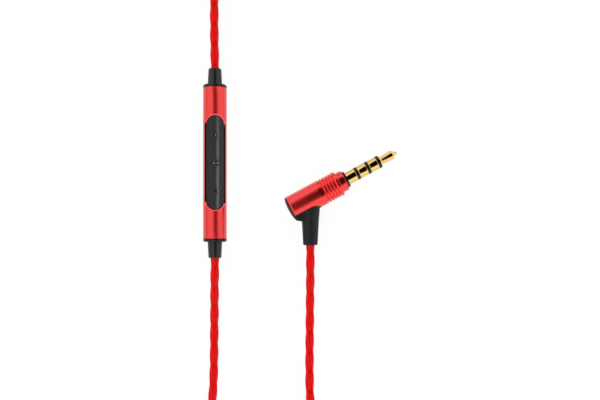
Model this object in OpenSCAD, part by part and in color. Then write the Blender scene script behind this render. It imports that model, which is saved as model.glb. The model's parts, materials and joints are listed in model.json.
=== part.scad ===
// Wired in-ear earphones with a tube-shaped three-key remote on the cord
// and an angled four-contact plug. Sizes are millimetres.
// Everything lies on the plane z = 0, as it would on a table.

/* [Remote] */
// Outside diameter of the remote's metal tube
tube_d = 6.4; // [6.2:0.1:7]
// Wall of the tube
tube_wall = 0.4; // [0.3:0.05:0.45]
// Length of the tube between its two collars
tube_len = 40.6; // [40:0.1:46]
// Width of the window that the keys stand in
window_w = 4.9; // [4.4:0.1:5]
// Length of the window
window_len = 25.2; // [24:0.2:27]
// How far the window's middle is above the tube's middle
window_shift = 0; // [0:0.05:0.8]
// Thickness of the glossy collar at each end
collar_len = 0.9; // [0.6:0.05:1]
// Bevel round each collar
collar_bevel = 0.28; // [0.1:0.02:0.4]
// How deep each collar's spigot reaches into its tube
spigot_len = 2.2; // [2:0.1:2.8]
// Diameter of the microphone port in the back
port_d = 0.8; // [0.6:0.1:1]

/* [Keys] */
// Distance between the middles of neighbouring keys
key_pitch = 7.57; // [7:0.05:8]
// Gap between the key strip and the window's edge
key_gap = 0.1; // [0.08:0.02:0.2]
// Hairline gap between two keys
key_split = 0.1; // [0.08:0.02:0.2]
// How far the keys' crown lies below the tube's surface
key_recess = 0.2; // [0.1:0.05:0.4]
// Depth of the finger dish on each key
dish_depth = 0.22; // [0.1:0.02:0.3]
// Radius of the ball that hollows each dish
dish_r = 7; // [5:0.5:12]
// Travel of a key
key_travel = 0.25; // [0.15:0.05:0.25]

/* [Board] */
// Thickness of the circuit board
board_t = 0.5; // [0.4:0.1:0.6]
// Width of the circuit board
board_w = 4.5; // [4:0.1:4.6]
// Height of a key switch above the board
switch_h = 0.6; // [0.5:0.05:0.65]
// Height of the switch's dome
dome_h = 0.15; // [0.1:0.01:0.15]

/* [Strain reliefs] */
// Diameter of a remote boot at its collar
boot_root_d = 3.95; // [3.6:0.05:4]
// Diameter of a remote boot at its end
boot_tip_d = 3.5; // [3.1:0.05:3.5]
// Length of a remote boot outside its collar
boot_len = 4.35; // [3.5:0.05:5]
// Rounding of each boot's end
boot_round = 0.3; // [0.2:0.05:0.35]
// Length of the crimped ferrule behind each boot
ferrule_len = 2; // [1.5:0.1:2.2]

/* [Plug body] */
// Outside diameter of the plug's shell
shell_d = 7; // [6.8:0.1:7.4]
// Wall of the shell
shell_wall = 0.45; // [0.35:0.05:0.5]
// Length of the domed back cap
cap_len = 0.8; // [0.6:0.1:1.2]
// Where the shell ends and its nose begins, from the back
shell_end = 15.4; // [15.2:0.1:17]
// Diameter of the nose
nose_d = 5.7; // [5.4:0.1:6]
// Length of the nose
nose_len = 1.75; // [1.2:0.05:2.2]
// Number of grip grooves
groove_count = 5; // [3:1:6]
// Distance between grip grooves
groove_pitch = 0.87; // [0.8:0.01:0.95]
// Depth of a grip groove
groove_depth = 0.28; // [0.15:0.01:0.32]
// Diameter of the black collar at the jack
jack_collar_d = 4.6; // [4.2:0.1:5]
// How far that collar stands out of the nose
jack_collar_len = 0.7; // [0.4:0.1:1]
// Width of the slot that the cord's boot leaves through
slot_w = 5.2; // [5.2:0.1:5.6]
// Where the slot ends, from the back
slot_end = 8.4; // [8.2:0.1:9]
// Diameter of the plug's boot at the shell
plug_boot_root_d = 5.1; // [4.6:0.1:5.1]
// Diameter of the plug's boot at its end
plug_boot_tip_d = 3.9; // [3.4:0.05:4]
// Length of the plug's boot from the plug's axis
plug_boot_len = 12.6; // [12:0.1:14]

/* [Jack] */
// Diameter of the contacts
jack_d = 3.5; // [3.4:0.1:3.6]
// Length of the sleeve contact
sleeve_len = 2.7; // [2.4:0.1:3]
// Length of each ring contact
ring_len = 2.5; // [2.2:0.1:2.8]
// Length of each black insulator
band_len = 0.76; // [0.6:0.02:0.9]
// Length of the tip contact
tip_len = 5.2; // [4.5:0.1:5.4]
// Diameter of the tip's waist
waist_d = 2.2; // [2:0.1:2.4]
// Largest diameter of the tip
tip_d = 2.8; // [2.6:0.1:3.4]
// Diameter of the small nipple at the end
nipple_d = 1.2; // [0.8:0.1:1.2]

/* [Cords] */
// Diameter over the four twisted strands of the trunk cord
cord_d = 2.4; // [2.2:0.1:2.4]
// Diameter over the two twisted strands of an ear lead
lead_d = 2; // [1.8:0.1:2]

/* [Splitter] */
// Outside diameter of the splitter's shell
split_d = 6; // [5.8:0.1:6.4]
// Length of the splitter's shell
split_len = 7; // [6.5:0.5:8]
// Distance between the two leads
lead_gap = 2.3; // [2.2:0.1:2.4]
// Length of the sliding cinch
cinch_len = 5; // [4:0.5:5.5]
// Diameter of the sliding cinch
cinch_d = 5.8; // [5.4:0.1:6]

/* [Ear pieces] */
// Outside diameter of the ear piece's metal shell
ear_d = 11.2; // [11:0.2:11.6]
// Length of the metal shell
ear_shell_len = 6.5; // [6:0.1:7]
// Wall of the metal shell
ear_wall = 0.5; // [0.4:0.05:0.6]
// Thickness of the glossy ring between the shells
ear_ring_len = 0.6; // [0.5:0.1:0.8]
// Length of the tapered front shell, without its nozzle
front_len = 3; // [2.8:0.1:3.4]
// Diameter of the nozzle's neck
nozzle_d = 4.2; // [4:0.1:4.3]
// Diameter of the nozzle's lip
lip_d = 4.6; // [4.5:0.1:4.8]
// Length of the nozzle
nozzle_len = 3.5; // [3:0.1:3.7]
// Diameter of the sound bore
sound_d = 3.4; // [3.2:0.1:3.5]
// Diameter of the silicone tip
silicone_d = 12; // [11.8:0.2:12.6]
// Length of the silicone tip
silicone_len = 6.4; // [6:0.1:7]
// Length of the ear piece's boot outside its shell
ear_boot_len = 6.4; // [5:0.2:7]

/* [Hidden] */
$fn = 64;

// Clearance between pieces that seat in each other, and overshoot of a cutter
fit = 0.02;
cut = 0.5;
// Clearance of a cord in its hole
cord_fit = 0.04;

// Where things lie, measured from the middle of the remote-and-plug pair
remote_x = -23;
remote_y = 9.87;
// How far the remote lies rolled towards the plug, in degrees
remote_roll = 8;
plug_x = -3.07;
plug_y = -2.75;
plug_angle = 28.2;
boot_x = 2.8;
split_x = -23.15;
split_y = 64;
ear_y = 66;
left_ear_x = 1.4;
right_ear_x = 3.6;

// Remote
tube_r = tube_d / 2;
tube_bore_r = tube_r - tube_wall;
stem_r = 1.55;
flange_r = 2.1;
flange_len = 0.6;
stem_len = collar_len + spigot_len;
inner_end = spigot_len + flange_len + ferrule_len;
chassis_len = tube_len - 2 * inner_end - 2 * fit;
board_len = chassis_len - 1;
board_up = -0.9;
board_top = board_up + board_t;
chassis_top = 0.6;
switch_size = [2.8, 2.6];
dome_r = 0.7;
chip_size = [2.4, 2.4, 0.6];
microphone_size = [1.85, 2.75, 0.9];
board_margin = 0.055;
port_y = (board_len - microphone_size[1]) / 2 - board_margin;
gasket_r = 1;
gasket_t = 0.3;
key_w = window_w - 2 * key_gap;
key_len = window_len - 2 * key_gap;
key_crown_r = tube_r - key_recess;
key_floor = 1;
key_nub_r = 0.8;
key_nub_end = board_top + switch_h + dome_h + key_travel + 0.05;
lip_size = [3.2, 2.4, 0.8];
lip_reach = 0.6;

// Plug
shell_r = shell_d / 2;
shell_bore_r = shell_r - shell_wall;
shoulder = shell_end - 0.8;
nose_end = shell_end + nose_len;
jack_start = nose_end + jack_collar_len;
groove_start = shell_end - 0.95 - (groove_count - 1) * groove_pitch - 0.2;
groove_w = 0.42;
edge = 0.15;
core_start = slot_end + 0.2;
core_cavity_r = 2.2;
anchor_r = 2.15;
anchor_at = shoulder - 2.1;
anchor_len = 1;
cross_s = (boot_x - plug_x) / cos(plug_angle);
boot_y = plug_y + cross_s * sin(plug_angle);
web_t = 3;

// Jack: each contact is a tube round the one before it, with an insulator between
jack_r = jack_d / 2;
rod_r = 0.4;
film = 0.14;
wall = 0.2;
front_in = rod_r + fit;
front_tube = front_in + film + fit;
middle_in = front_tube + wall + fit;
rear_tube = middle_in + film + fit;
rear_in = rear_tube + wall + fit;
sleeve_in = rear_in + film + fit;
root_r = sleeve_in + wall;
rear_band_at = jack_start + sleeve_len;
rear_ring_at = rear_band_at + band_len;
middle_band_at = rear_ring_at + ring_len;
front_ring_at = middle_band_at + band_len;
front_band_at = front_ring_at + ring_len;
tip_at = front_band_at + band_len;
tab_step = 0.4;
tab_reach = 1.95;
sleeve_tail = core_start + 3;

// Splitter and cinch
split_r = split_d / 2;
cinch_start = split_y + split_len / 2 + collar_len + 1;

// Ear pieces
ear_r = ear_d / 2;
ear_bore_r = ear_r - ear_wall;
ear_back_t = 1.2;
ear_ring_r = ear_r + 0.1;
front_at = ear_shell_len + ear_ring_len;
nozzle_at = front_at + front_len;
nozzle_end = nozzle_at + nozzle_len;
driver_r = ear_bore_r - 0.15;
driver_t = 2.6;
driver_at = front_at + 0.3 - driver_t;
magnet_r = 3.2;
ear_boot_at = 3.2;
ear_boot_root_r = 1.75;
ear_boot_tip_r = 1.4;
silicone_r = silicone_d / 2;
silicone_at = nozzle_at + 0.3;
silicone_end = silicone_at + silicone_len;
tip_bore_r = lip_d / 2 + 0.05;

// The origin is the middle of the floor under the remote, the splitter and the ear pieces
left_edge = remote_x - tube_r;
right_edge = right_ear_x + silicone_end;
near_edge = remote_y - tube_len / 2 - collar_len - boot_len;
far_edge = ear_y + ear_r + ear_boot_len;
frame_shift = [-(left_edge + right_edge) / 2, -(near_edge + far_edge) / 2, 0];

// Cord routes, from end to end
upper_route = [
    [-23, 28.8, 3.2], [-23, 36.4, 3.2], [-23.15, 42, 3.1], [-23.2, 48, 3], [-23.2, 54, 3],
    [-23.15, 60, 3]
];
remote_route = [
    [-23, -9.2, 3.2], [-23, -16.6, 3.2], [-23.1, -20.5, 2.9], [-23.23, -25, 2.1], [-23.33, -30, 1.4],
    [-23.4, -35, 1.2], [-23.46, -42, 1.2], [-23.6, -49, 1.2], [-24, -55, 1.2], [-24.7, -61, 1.2],
    [-25.1, -66.5, 1.2]
];
plug_route = [
    [3, -56.6, 3.9], [2.65, -52.5, 3.4], [2.6, -47.5, 2.1], [2.6, -42.5, 1.3], [2.65, -37, 1.2],
    [2.7, -31.5, 1.2], [2.75, -26, 1.6], [2.8, -21, 2.6], [2.8, -17, 3.3], [2.8, -13, 3.5], [2.8, -9.4, 3.5]
];
left_route = [
    [-24.3, 65.8, 3], [-24.3, 74, 3], [-24.3, 82, 3], [-24.5, 86, 2.4], [-24.9, 91, 1.3],
    [-25.2, 96, 1]
];
right_route = [
    [-22, 65.8, 3], [-22, 74, 3], [-22, 82, 3], [-21.2, 85, 2.7], [-19, 87.2, 2.1],
    [-16, 88, 1.5], [-11, 88, 1.05], [-5, 88, 1], [1, 88, 1], [7, 88, 1]
];
left_end_route = [
    [0.2, 94.5, 3.5], [-0.1, 90.5, 3.7], [-0.7, 86.5, 4.4], [-1.4, 82.5, 5.4], [-1.8, 78.5, 6],
    [-1.8, 75, 6]
];
right_end_route = [
    [3, 94.5, 3.5], [3.5, 90.5, 3.7], [4.7, 86.5, 4.4], [6.1, 82.5, 5.4], [6.8, 78.5, 6],
    [6.8, 75, 6]
];

// Coils: [middle, inner radius, step per turn, turns, first angle, turning sense, cord diameter]
coil_step = 0.46;
coil_steps = 24;
trunk_step = cord_d + coil_step;
lead_step = lead_d + coil_step;
trunk_coil = [[-6.8, -74, cord_d / 2], 8.8, trunk_step, 6.625, 180, 1, cord_d];
left_coil_rule = [[-12.4, 101.6, lead_d / 2], 7.2, lead_step, 4.5, 180, -1, lead_d];
right_coil_rule = [[16, 101.1, lead_d / 2], 8.5, lead_step, 3.75, 270, 1, lead_d];

function unit(v) = v / norm(v);
function heading(c, u) = let (a = c[4] + c[5] * 360 * u) c[5] * [-sin(a), cos(a), 0];
function coil_r(c, u) = c[1] + c[2] * abs(u - c[3] / 2);
function coil_rise(c, u) = c[2] * min(1, max(0, 2 * (u - c[3] / 2) + 0.5));
function coil_at(c, u) =
    let (a = c[4] + c[5] * 360 * u)
    c[0] + [coil_r(c, u) * cos(a), coil_r(c, u) * sin(a), coil_rise(c, u)];
function coil_start(c) = coil_at(c, 0) - c[6] * heading(c, 0);
function coil_end(c) = coil_at(c, c[3]) + c[6] * heading(c, c[3]);
function coil_line(c) = concat(
    [coil_start(c)],
    [for (i = [0:round(c[3] * coil_steps)]) coil_at(c, i / coil_steps)],
    [coil_end(c)]
);
function line_length(p) = len(p) < 2 ? 0 : sum([for (i = [1:len(p) - 1]) norm(p[i] - p[i - 1])]);
function sum(v, i = 0) = i == len(v) ? 0 : v[i] + sum(v, i + 1);
// Least gap of a coil to itself, over points that lie half a turn or more apart
function least_gap(p, d) = min([
    for (i = [0:len(p) - 1 - coil_steps / 2])
        min([for (j = [i + coil_steps / 2:len(p) - 1]) norm(p[i] - p[j])])
]) - d;

function towards(p, i) = unit(p[min(i + 1, len(p) - 1)] - p[max(i - 1, 0)]);
function ring_of(p, t, r, sides) =
    let (side = unit(cross(t, [0, 0, 1])), up = cross(side, t))
    [for (k = [0:sides - 1]) let (a = 360 * (k + 0.5) / sides) p + r * (cos(a) * side + sin(a) * up)];

remote_line = concat(remote_route, [coil_start(trunk_coil)]);
plug_line = concat([coil_end(trunk_coil)], plug_route);
left_line = concat(left_route, [coil_start(left_coil_rule)]);
right_line = concat(right_route, [coil_start(right_coil_rule)]);
left_end_line = concat([coil_end(left_coil_rule)], left_end_route);
right_end_line = concat([coil_end(right_coil_rule)], right_end_route);

echo(trunk_cord_mm = line_length(remote_line) + line_length(coil_line(trunk_coil)) + line_length(plug_line));
echo(upper_cord_mm = line_length(upper_route));
echo(left_lead_mm = line_length(left_line) + line_length(coil_line(left_coil_rule))
    + line_length(left_end_line));
echo(right_lead_mm = line_length(right_line) + line_length(coil_line(right_coil_rule))
    + line_length(right_end_line));
echo(trunk_coil_gap_mm = least_gap(coil_line(trunk_coil), cord_d));
echo(left_coil_gap_mm = least_gap(coil_line(left_coil_rule), lead_d));
echo(right_coil_gap_mm = least_gap(coil_line(right_coil_rule), lead_d));

// A round cord along a line of points, square to the directions given for its two ends
module swept(line, d, sides, first, last) {
    n = len(line);
    rings = [
        for (i = [0:n - 1])
            ring_of(line[i], i == 0 ? first : i == n - 1 ? last : towards(line, i), d / 2, sides)
    ];
    walls = [
        for (i = [0:n - 2], k = [0:sides - 1])
            let (a = i * sides + k, b = i * sides + (k + 1) % sides)
                each [[a, a + sides, b + sides], [a, b + sides, b]]
    ];
    caps = [
        for (k = [1:sides - 2])
            each [[0, k, k + 1], [(n - 1) * sides, (n - 1) * sides + k + 1, (n - 1) * sides + k]]
    ];
    polyhedron(points = [for (ring = rings) each ring], faces = concat(walls, caps));
}

module placed() translate(frame_shift) children();
// On the remote: z runs along the tube, away from the plug's end of the cord
module on_remote() placed() translate([remote_x, remote_y, tube_r]) rotate([-90, 0, 0])
    rotate([0, 0, remote_roll]) children();
// Turns a piece drawn in plan so that its height stands up out of the remote's keys
module facing_up() rotate([90, 0, 0]) children();
// At one end of the remote, with z pointing out of it
module at_end(side) on_remote() rotate([side > 0 ? 0 : 180, 0, 0]) translate([0, 0, tube_len / 2]) children();
module on_splitter() placed() translate([split_x, split_y, split_r]) rotate([-90, 0, 0]) children();
// On the plug: z runs from the back cap to the jack's tip
module on_plug() placed() translate([plug_x, plug_y, shell_r]) rotate([0, 90, plug_angle]) children();
// On the plug's boot: z runs from the plug's axis along the cord
module on_plug_boot() placed() translate([boot_x, boot_y, shell_r]) rotate([90, 0, 0]) children();
// On an ear piece: z runs from its back to its silicone tip
module on_ear(side) placed()
    translate([side < 0 ? left_ear_x : right_ear_x, ear_y, silicone_r]) rotate([0, side * 90, 0]) children();

module obround(w, l, h) linear_extrude(h) {
    square([w, l - w], center = true);
    for (side = [-1, 1]) translate([0, side * (l - w) / 2]) circle(d = w);
}
module block(size, at) translate([at[0] - size[0] / 2, at[1] - size[1] / 2, at[2]]) cube(size);

// ---- Remote ----
module remote_tube() color("crimson") on_remote() difference() {
    cylinder(r = tube_r, h = tube_len, center = true);
    cylinder(r = tube_bore_r, h = tube_len + 2 * cut, center = true);
    facing_up() translate([0, window_shift, 0]) obround(window_w, window_len, tube_r + cut);
    facing_up() translate([0, port_y, -tube_r - cut]) cylinder(d = port_d, h = tube_r);
}

module remote_chassis() color([0.16, 0.16, 0.17]) on_remote() difference() {
    cylinder(r = tube_bore_r - fit, h = chassis_len, center = true);
    facing_up() block([tube_d, chassis_len + 2 * cut, tube_r], [0, 0, chassis_top]);
    facing_up() block([board_w + 2 * fit, board_len + 2 * fit, tube_r], [0, 0, board_up]);
    facing_up() translate([0, port_y, -tube_r]) cylinder(d = port_d, h = tube_r);
    facing_up() translate([0, port_y, board_up - gasket_t]) cylinder(r = gasket_r + fit, h = tube_r);
}

module end_cap(outer_r, bore_r, hole_r) rotate_extrude() polygon([
    [hole_r, -spigot_len], [bore_r - fit, -spigot_len], [bore_r - fit, 0], [outer_r, 0],
    [outer_r, collar_len - collar_bevel], [outer_r - collar_bevel, collar_len], [hole_r, collar_len]
]);
module remote_cap(side) color([0.06, 0.06, 0.07]) at_end(side) end_cap(tube_r, tube_bore_r, stem_r + fit);

function rounded(r, z, round) = [for (a = [0:15:90]) [r - round + round * cos(a), z - round + round * sin(a)]];
module remote_boot(side) color([0.13, 0.13, 0.14]) at_end(side) translate([0, 0, collar_len])
    rotate_extrude() polygon(concat(
        [[cord_d / 2 + cord_fit, -stem_len - flange_len], [flange_r, -stem_len - flange_len]],
        [[flange_r, -stem_len], [stem_r, -stem_len], [stem_r, 0], [boot_root_d / 2, 0]],
        rounded(boot_tip_d / 2, boot_len, boot_round),
        [[cord_d / 2 + cord_fit, boot_len]]
    ));
module ferrule(side) color("silver") at_end(side) translate([0, 0, -inner_end]) difference() {
    cylinder(r = flange_r, h = ferrule_len);
    translate([0, 0, -cut]) cylinder(r = cord_d / 2 + cord_fit, h = ferrule_len + 2 * cut);
}

module circuit_board() color("darkgreen") on_remote() facing_up() difference() {
    block([board_w, board_len, board_t], [0, 0, board_up]);
    translate([0, port_y, board_up - cut]) cylinder(d = port_d, h = board_t + 2 * cut);
}
module key_switches() color("gainsboro") on_remote() facing_up() for (k = [-1:1])
    translate([0, window_shift + k * key_pitch, board_top]) {
        block([switch_size[0], switch_size[1], switch_h], [0, 0, 0]);
        cylinder(r = dome_r, h = switch_h + dome_h);
    }
module control_chip() color([0.1, 0.1, 0.1]) on_remote() facing_up()
    block(chip_size, [0, window_shift - key_pitch / 2, board_top]);
module microphone() color("goldenrod") on_remote() facing_up()
    block(microphone_size, [0, port_y, board_top]);
module microphone_gasket() color("dimgray") on_remote() facing_up()
    translate([0, port_y, board_up - gasket_t]) difference() {
        cylinder(r = gasket_r, h = gasket_t);
        translate([0, 0, -cut]) cylinder(d = port_d, h = gasket_t + 2 * cut);
    }

// The three keys are one crowned strip, parted at its two webs
module key(k) color([0.1, 0.1, 0.11]) on_remote() {
    low = k < 0 ? -window_len : (k - 0.5) * key_pitch + key_split / 2;
    high = k > 0 ? window_len : (k + 0.5) * key_pitch - key_split / 2;
    difference() {
        intersection() {
            facing_up() translate([0, window_shift, key_floor]) obround(key_w, key_len, tube_r);
            cylinder(r = key_crown_r, h = tube_len, center = true);
            facing_up() translate([-tube_r, window_shift + low, 0]) cube([tube_d, high - low, tube_d]);
        }
        facing_up() translate([0, window_shift + k * key_pitch, key_crown_r + dish_r - dish_depth])
            sphere(r = dish_r);
    }
    facing_up() translate([0, window_shift + k * key_pitch, key_nub_end])
        cylinder(r = key_nub_r, h = key_floor - key_nub_end + cut);
    if (k != 0) facing_up()
        block(lip_size, [0, window_shift + k * (window_len / 2 + lip_reach - lip_size[1] / 2), key_floor]);
}

// ---- Plug ----
module groove_cuts() for (i = [0:groove_count - 1]) rotate_extrude()
    translate([0, groove_start + i * groove_pitch]) polygon([
        [shell_r + 0.01, -groove_w / 2], [shell_r - groove_depth, -groove_w / 8],
        [shell_r - groove_depth, groove_w / 8], [shell_r + 0.01, groove_w / 2],
        [shell_r + cut, groove_w / 2], [shell_r + cut, -groove_w / 2]
    ]);
// The slot's outline in plan, open at the back
module slot(w, h, from) rotate([90, 0, 0]) linear_extrude(h) {
    translate([-w / 2, from]) square([w, slot_end - slot_w / 2 - from]);
    translate([0, slot_end - slot_w / 2]) circle(d = w);
}
module plug_shell() color("crimson") on_plug() difference() {
    rotate_extrude() polygon([
        [shell_bore_r, cap_len], [shell_r, cap_len], [shell_r, shell_end - edge],
        [shell_r - edge, shell_end], [nose_d / 2, shell_end], [nose_d / 2, nose_end - edge],
        [nose_d / 2 - edge, nose_end], [jack_collar_d / 2 + fit, nose_end],
        [jack_collar_d / 2 + fit, shoulder], [shell_bore_r, shoulder]
    ]);
    groove_cuts();
    slot(slot_w, shell_d, -cut);
}
module plug_boot() color([0.13, 0.13, 0.14]) difference() {
    union() {
        on_plug() rotate_extrude() polygon(concat(
            [[0, 0], [1.5, 0.06], [2.6, 0.22]],
            [for (a = [-60:20:0]) [shell_r - 0.35 + 0.35 * cos(a), 0.65 + 0.35 * sin(a)]],
            [[shell_r, cap_len], [shell_bore_r - fit, cap_len], [shell_bore_r - fit, core_start],
             [0, core_start]]
        ));
        on_plug() intersection() {
            cylinder(r = shell_r, h = slot_end);
            slot(slot_w - 2 * fit, shell_d, cap_len / 2);
        }
        on_plug_boot() rotate_extrude() polygon(concat(
            [[0, 0], [plug_boot_root_d / 2, 0], [plug_boot_root_d / 2, shell_r],
             [plug_boot_root_d / 2 - 0.2, shell_r + 1.2]],
            rounded(plug_boot_tip_d / 2, plug_boot_len, boot_round),
            [[0, plug_boot_len]]
        ));
        // Web between the back cap and the boot
        on_plug() translate([web_t / 2, 0, 0]) rotate([0, -90, 0]) linear_extrude(web_t)
            polygon([[0.6, -shell_r + 0.5], [0.6, -shell_r + 0.1], [1.8, -shell_r - 0.95], [3, -shell_r + 0.5]]);
    }
    on_plug_boot() translate([0, 0, plug_boot_len - 4]) cylinder(r = cord_d / 2 + cord_fit, h = 4 + cut);
}
module plug_core() color([0.08, 0.08, 0.09]) on_plug() rotate_extrude() polygon([
    [core_cavity_r, core_start], [shell_bore_r - fit, core_start], [shell_bore_r - fit, shoulder - fit],
    [jack_collar_d / 2, shoulder - fit], [jack_collar_d / 2, jack_start - edge],
    [jack_collar_d / 2 - edge, jack_start], [root_r + fit, jack_start],
    [root_r + fit, anchor_at + anchor_len + fit], [anchor_r + fit, anchor_at + anchor_len + fit],
    [anchor_r + fit, anchor_at - fit], [root_r + fit, anchor_at - fit], [root_r + fit, sleeve_tail],
    [core_cavity_r, sleeve_tail]
]);

// ---- Jack ----
// A contact or insulator: a tube inside the jack with a full-size band outside
module jack_piece(inner, tube_outer, band_at, band_end, tail) rotate_extrude() polygon([
    [inner, tail], [tube_outer, tail], [tube_outer, band_at], [jack_r, band_at], [jack_r, band_end],
    [inner, band_end]
]);
// Solder tab at a contact's back end
module tab(inner, tail, turn) rotate([0, 0, turn]) translate([inner, -0.4, tail])
    cube([tab_reach - inner, 0.8, tab_step - fit]);

module jack_sleeve() color("gold") on_plug() {
    rotate_extrude() polygon([
        [sleeve_in, sleeve_tail], [root_r, sleeve_tail], [root_r, anchor_at], [anchor_r, anchor_at],
        [anchor_r, anchor_at + anchor_len], [root_r, anchor_at + anchor_len], [root_r, jack_start],
        [jack_r, jack_start], [jack_r, rear_band_at], [sleeve_in, rear_band_at]
    ]);
}
module rear_insulator() color([0.05, 0.05, 0.05]) on_plug()
    jack_piece(rear_in, rear_in + film, rear_band_at, rear_ring_at, sleeve_tail - tab_step);
module jack_rear_ring() color("gold") on_plug() {
    jack_piece(rear_tube, rear_tube + wall, rear_ring_at, middle_band_at, sleeve_tail - 2 * tab_step);
    tab(rear_tube + wall / 2, sleeve_tail - 2 * tab_step, 120);
}
module middle_insulator() color([0.05, 0.05, 0.05]) on_plug()
    jack_piece(middle_in, middle_in + film, middle_band_at, front_ring_at, sleeve_tail - 3 * tab_step);
module jack_front_ring() color("gold") on_plug() {
    jack_piece(front_tube, front_tube + wall, front_ring_at, front_band_at, sleeve_tail - 4 * tab_step);
    tab(front_tube + wall / 2, sleeve_tail - 4 * tab_step, 240);
}
module front_insulator() color([0.05, 0.05, 0.05]) on_plug()
    jack_piece(front_in, front_in + film, front_band_at, tip_at, sleeve_tail - 5 * tab_step);
module jack_tip() color("gold") on_plug() {
    rotate_extrude() polygon(concat(
        [[0, sleeve_tail - 6 * tab_step], [rod_r, sleeve_tail - 6 * tab_step], [rod_r, tip_at]],
        [[jack_r - 0.15, tip_at], [waist_d / 2, tip_at + 0.4], [waist_d / 2, tip_at + 0.7]],
        [[tip_d / 2, tip_at + tip_len - 1.6], [tip_d / 2 - 0.12, tip_at + tip_len - 1.35]],
        [[nipple_d / 2 + 0.25, tip_at + tip_len - 0.95], [nipple_d / 2, tip_at + tip_len - 0.75]],
        [for (a = [0:30:90]) [0.2 + (nipple_d / 2 - 0.2) * cos(a), tip_at + tip_len - 0.4 + 0.4 * sin(a)]],
        [[0, tip_at + tip_len]]
    ));
    tab(0, sleeve_tail - 6 * tab_step, 0);
}

// ---- Cords ----
module trunk() color([0.75, 0.05, 0.08]) placed() children();
module upper_cord() trunk() swept(upper_route, cord_d, 8, [0, 1, 0], [0, 1, 0]);
module remote_cord() trunk() swept(remote_line, cord_d, 8, [0, -1, 0], heading(trunk_coil, 0));
module coil(c) trunk()
    swept(coil_line(c), c[6], 6, heading(c, 0), heading(c, c[3]));
module plug_cord() trunk()
    swept(plug_line, cord_d, 8, heading(trunk_coil, trunk_coil[3]), [0, 1, 0]);
module left_lead() trunk() swept(left_line, lead_d, 8, [0, 1, 0], heading(left_coil_rule, 0));
module right_lead() trunk() swept(right_line, lead_d, 8, [0, 1, 0], heading(right_coil_rule, 0));
module left_lead_end() trunk()
    swept(left_end_line, lead_d, 8, heading(left_coil_rule, left_coil_rule[3]), [0, -1, 0]);
module right_lead_end() trunk()
    swept(right_end_line, lead_d, 8, heading(right_coil_rule, right_coil_rule[3]), [0, -1, 0]);

// ---- Splitter and cinch ----
module splitter_shell() color("crimson") on_splitter() difference() {
    cylinder(r = split_r, h = split_len, center = true);
    cylinder(r = split_r - tube_wall, h = split_len + 2 * cut, center = true);
}
module splitter_cord_cap() color([0.13, 0.13, 0.14]) on_splitter() rotate([180, 0, 0])
    translate([0, 0, split_len / 2]) {
        end_cap(split_r, split_r - tube_wall, cord_d / 2 + cord_fit);
        translate([0, 0, collar_len]) rotate_extrude() polygon(concat(
            [[cord_d / 2 + cord_fit, 0], [boot_root_d / 2, 0]],
            rounded(boot_tip_d / 2, boot_len / 2, boot_round),
            [[cord_d / 2 + cord_fit, boot_len / 2]]
        ));
    }
module lead_holes(from, to) for (side = [-1, 1])
    translate([side * lead_gap / 2, 0, from]) cylinder(r = lead_d / 2 + cord_fit, h = to - from);
module splitter_lead_cap() color([0.06, 0.06, 0.07]) on_splitter() translate([0, 0, split_len / 2])
    difference() {
        end_cap(split_r, split_r - tube_wall, 0);
        lead_holes(-spigot_len - cut, collar_len + cut);
    }
module cinch() color([0.13, 0.13, 0.14]) placed()
    translate([split_x, cinch_start, split_r]) rotate([-90, 0, 0]) difference() {
        rotate_extrude() polygon(concat(
            [[0, 0], [cinch_d / 2 - boot_round, 0], [cinch_d / 2, boot_round]],
            rounded(cinch_d / 2, cinch_len, boot_round),
            [[0, cinch_len]]
        ));
        lead_holes(-cut, cinch_len + cut);
    }

// ---- Ear pieces ----
module ear_shell(side) color("crimson") on_ear(side) difference() {
    rotate_extrude() polygon([
        [0, 0], [ear_r - 1.1, 0], [ear_r - 0.35, 0.3], [ear_r, 0.95], [ear_r, ear_shell_len],
        [ear_bore_r, ear_shell_len], [ear_bore_r, ear_back_t], [0, ear_back_t]
    ]);
    translate([0, 0, ear_boot_at]) rotate([-90, 0, 0]) cylinder(r = ear_boot_root_r, h = ear_r + cut);
}
module ear_ring(side) color([0.06, 0.06, 0.07]) on_ear(side) rotate_extrude() polygon([
    [driver_r + fit, ear_shell_len], [ear_ring_r - 0.15, ear_shell_len], [ear_ring_r, ear_shell_len + 0.15],
    [ear_ring_r, front_at - 0.15], [ear_ring_r - 0.15, front_at], [driver_r + fit, front_at]
]);
module ear_front(side) color([0.1, 0.1, 0.11]) on_ear(side) rotate_extrude() polygon([
    [driver_r + fit, front_at], [ear_r - 0.1, front_at], [ear_r - 0.35, front_at + 0.7],
    [ear_r - 1.5, front_at + 1.9], [nozzle_d / 2 + 0.6, nozzle_at - 0.25], [nozzle_d / 2, nozzle_at],
    [nozzle_d / 2, nozzle_end - 0.7], [lip_d / 2, nozzle_end - 0.5], [lip_d / 2, nozzle_end - 0.15],
    [lip_d / 2 - 0.15, nozzle_end], [sound_d / 2, nozzle_end], [sound_d / 2, nozzle_at - 0.6],
    [driver_r - 0.6, front_at + 0.9], [driver_r - 0.6, front_at + 0.3], [driver_r + fit, front_at + 0.3]
]);
module ear_driver(side) color("silver") on_ear(side) rotate_extrude() polygon([
    [0, driver_at], [magnet_r, driver_at], [magnet_r, driver_at + 0.8], [driver_r, driver_at + 1.1],
    [driver_r, driver_at + driver_t], [driver_r - 0.4, driver_at + driver_t],
    [driver_r - 0.4, driver_at + driver_t - 0.5], [0, driver_at + driver_t - 0.5]
]);
module ear_diaphragm(side) color("tan") on_ear(side) rotate_extrude() polygon([
    [0, driver_at + driver_t - 0.2], [driver_r - 1.8, driver_at + driver_t - 0.45],
    [driver_r - 1.2, driver_at + driver_t - 0.25], [driver_r - 0.4 - fit, driver_at + driver_t - 0.4],
    [driver_r - 0.4 - fit, driver_at + driver_t - 0.5], [0, driver_at + driver_t - 0.5]
]);
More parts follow.
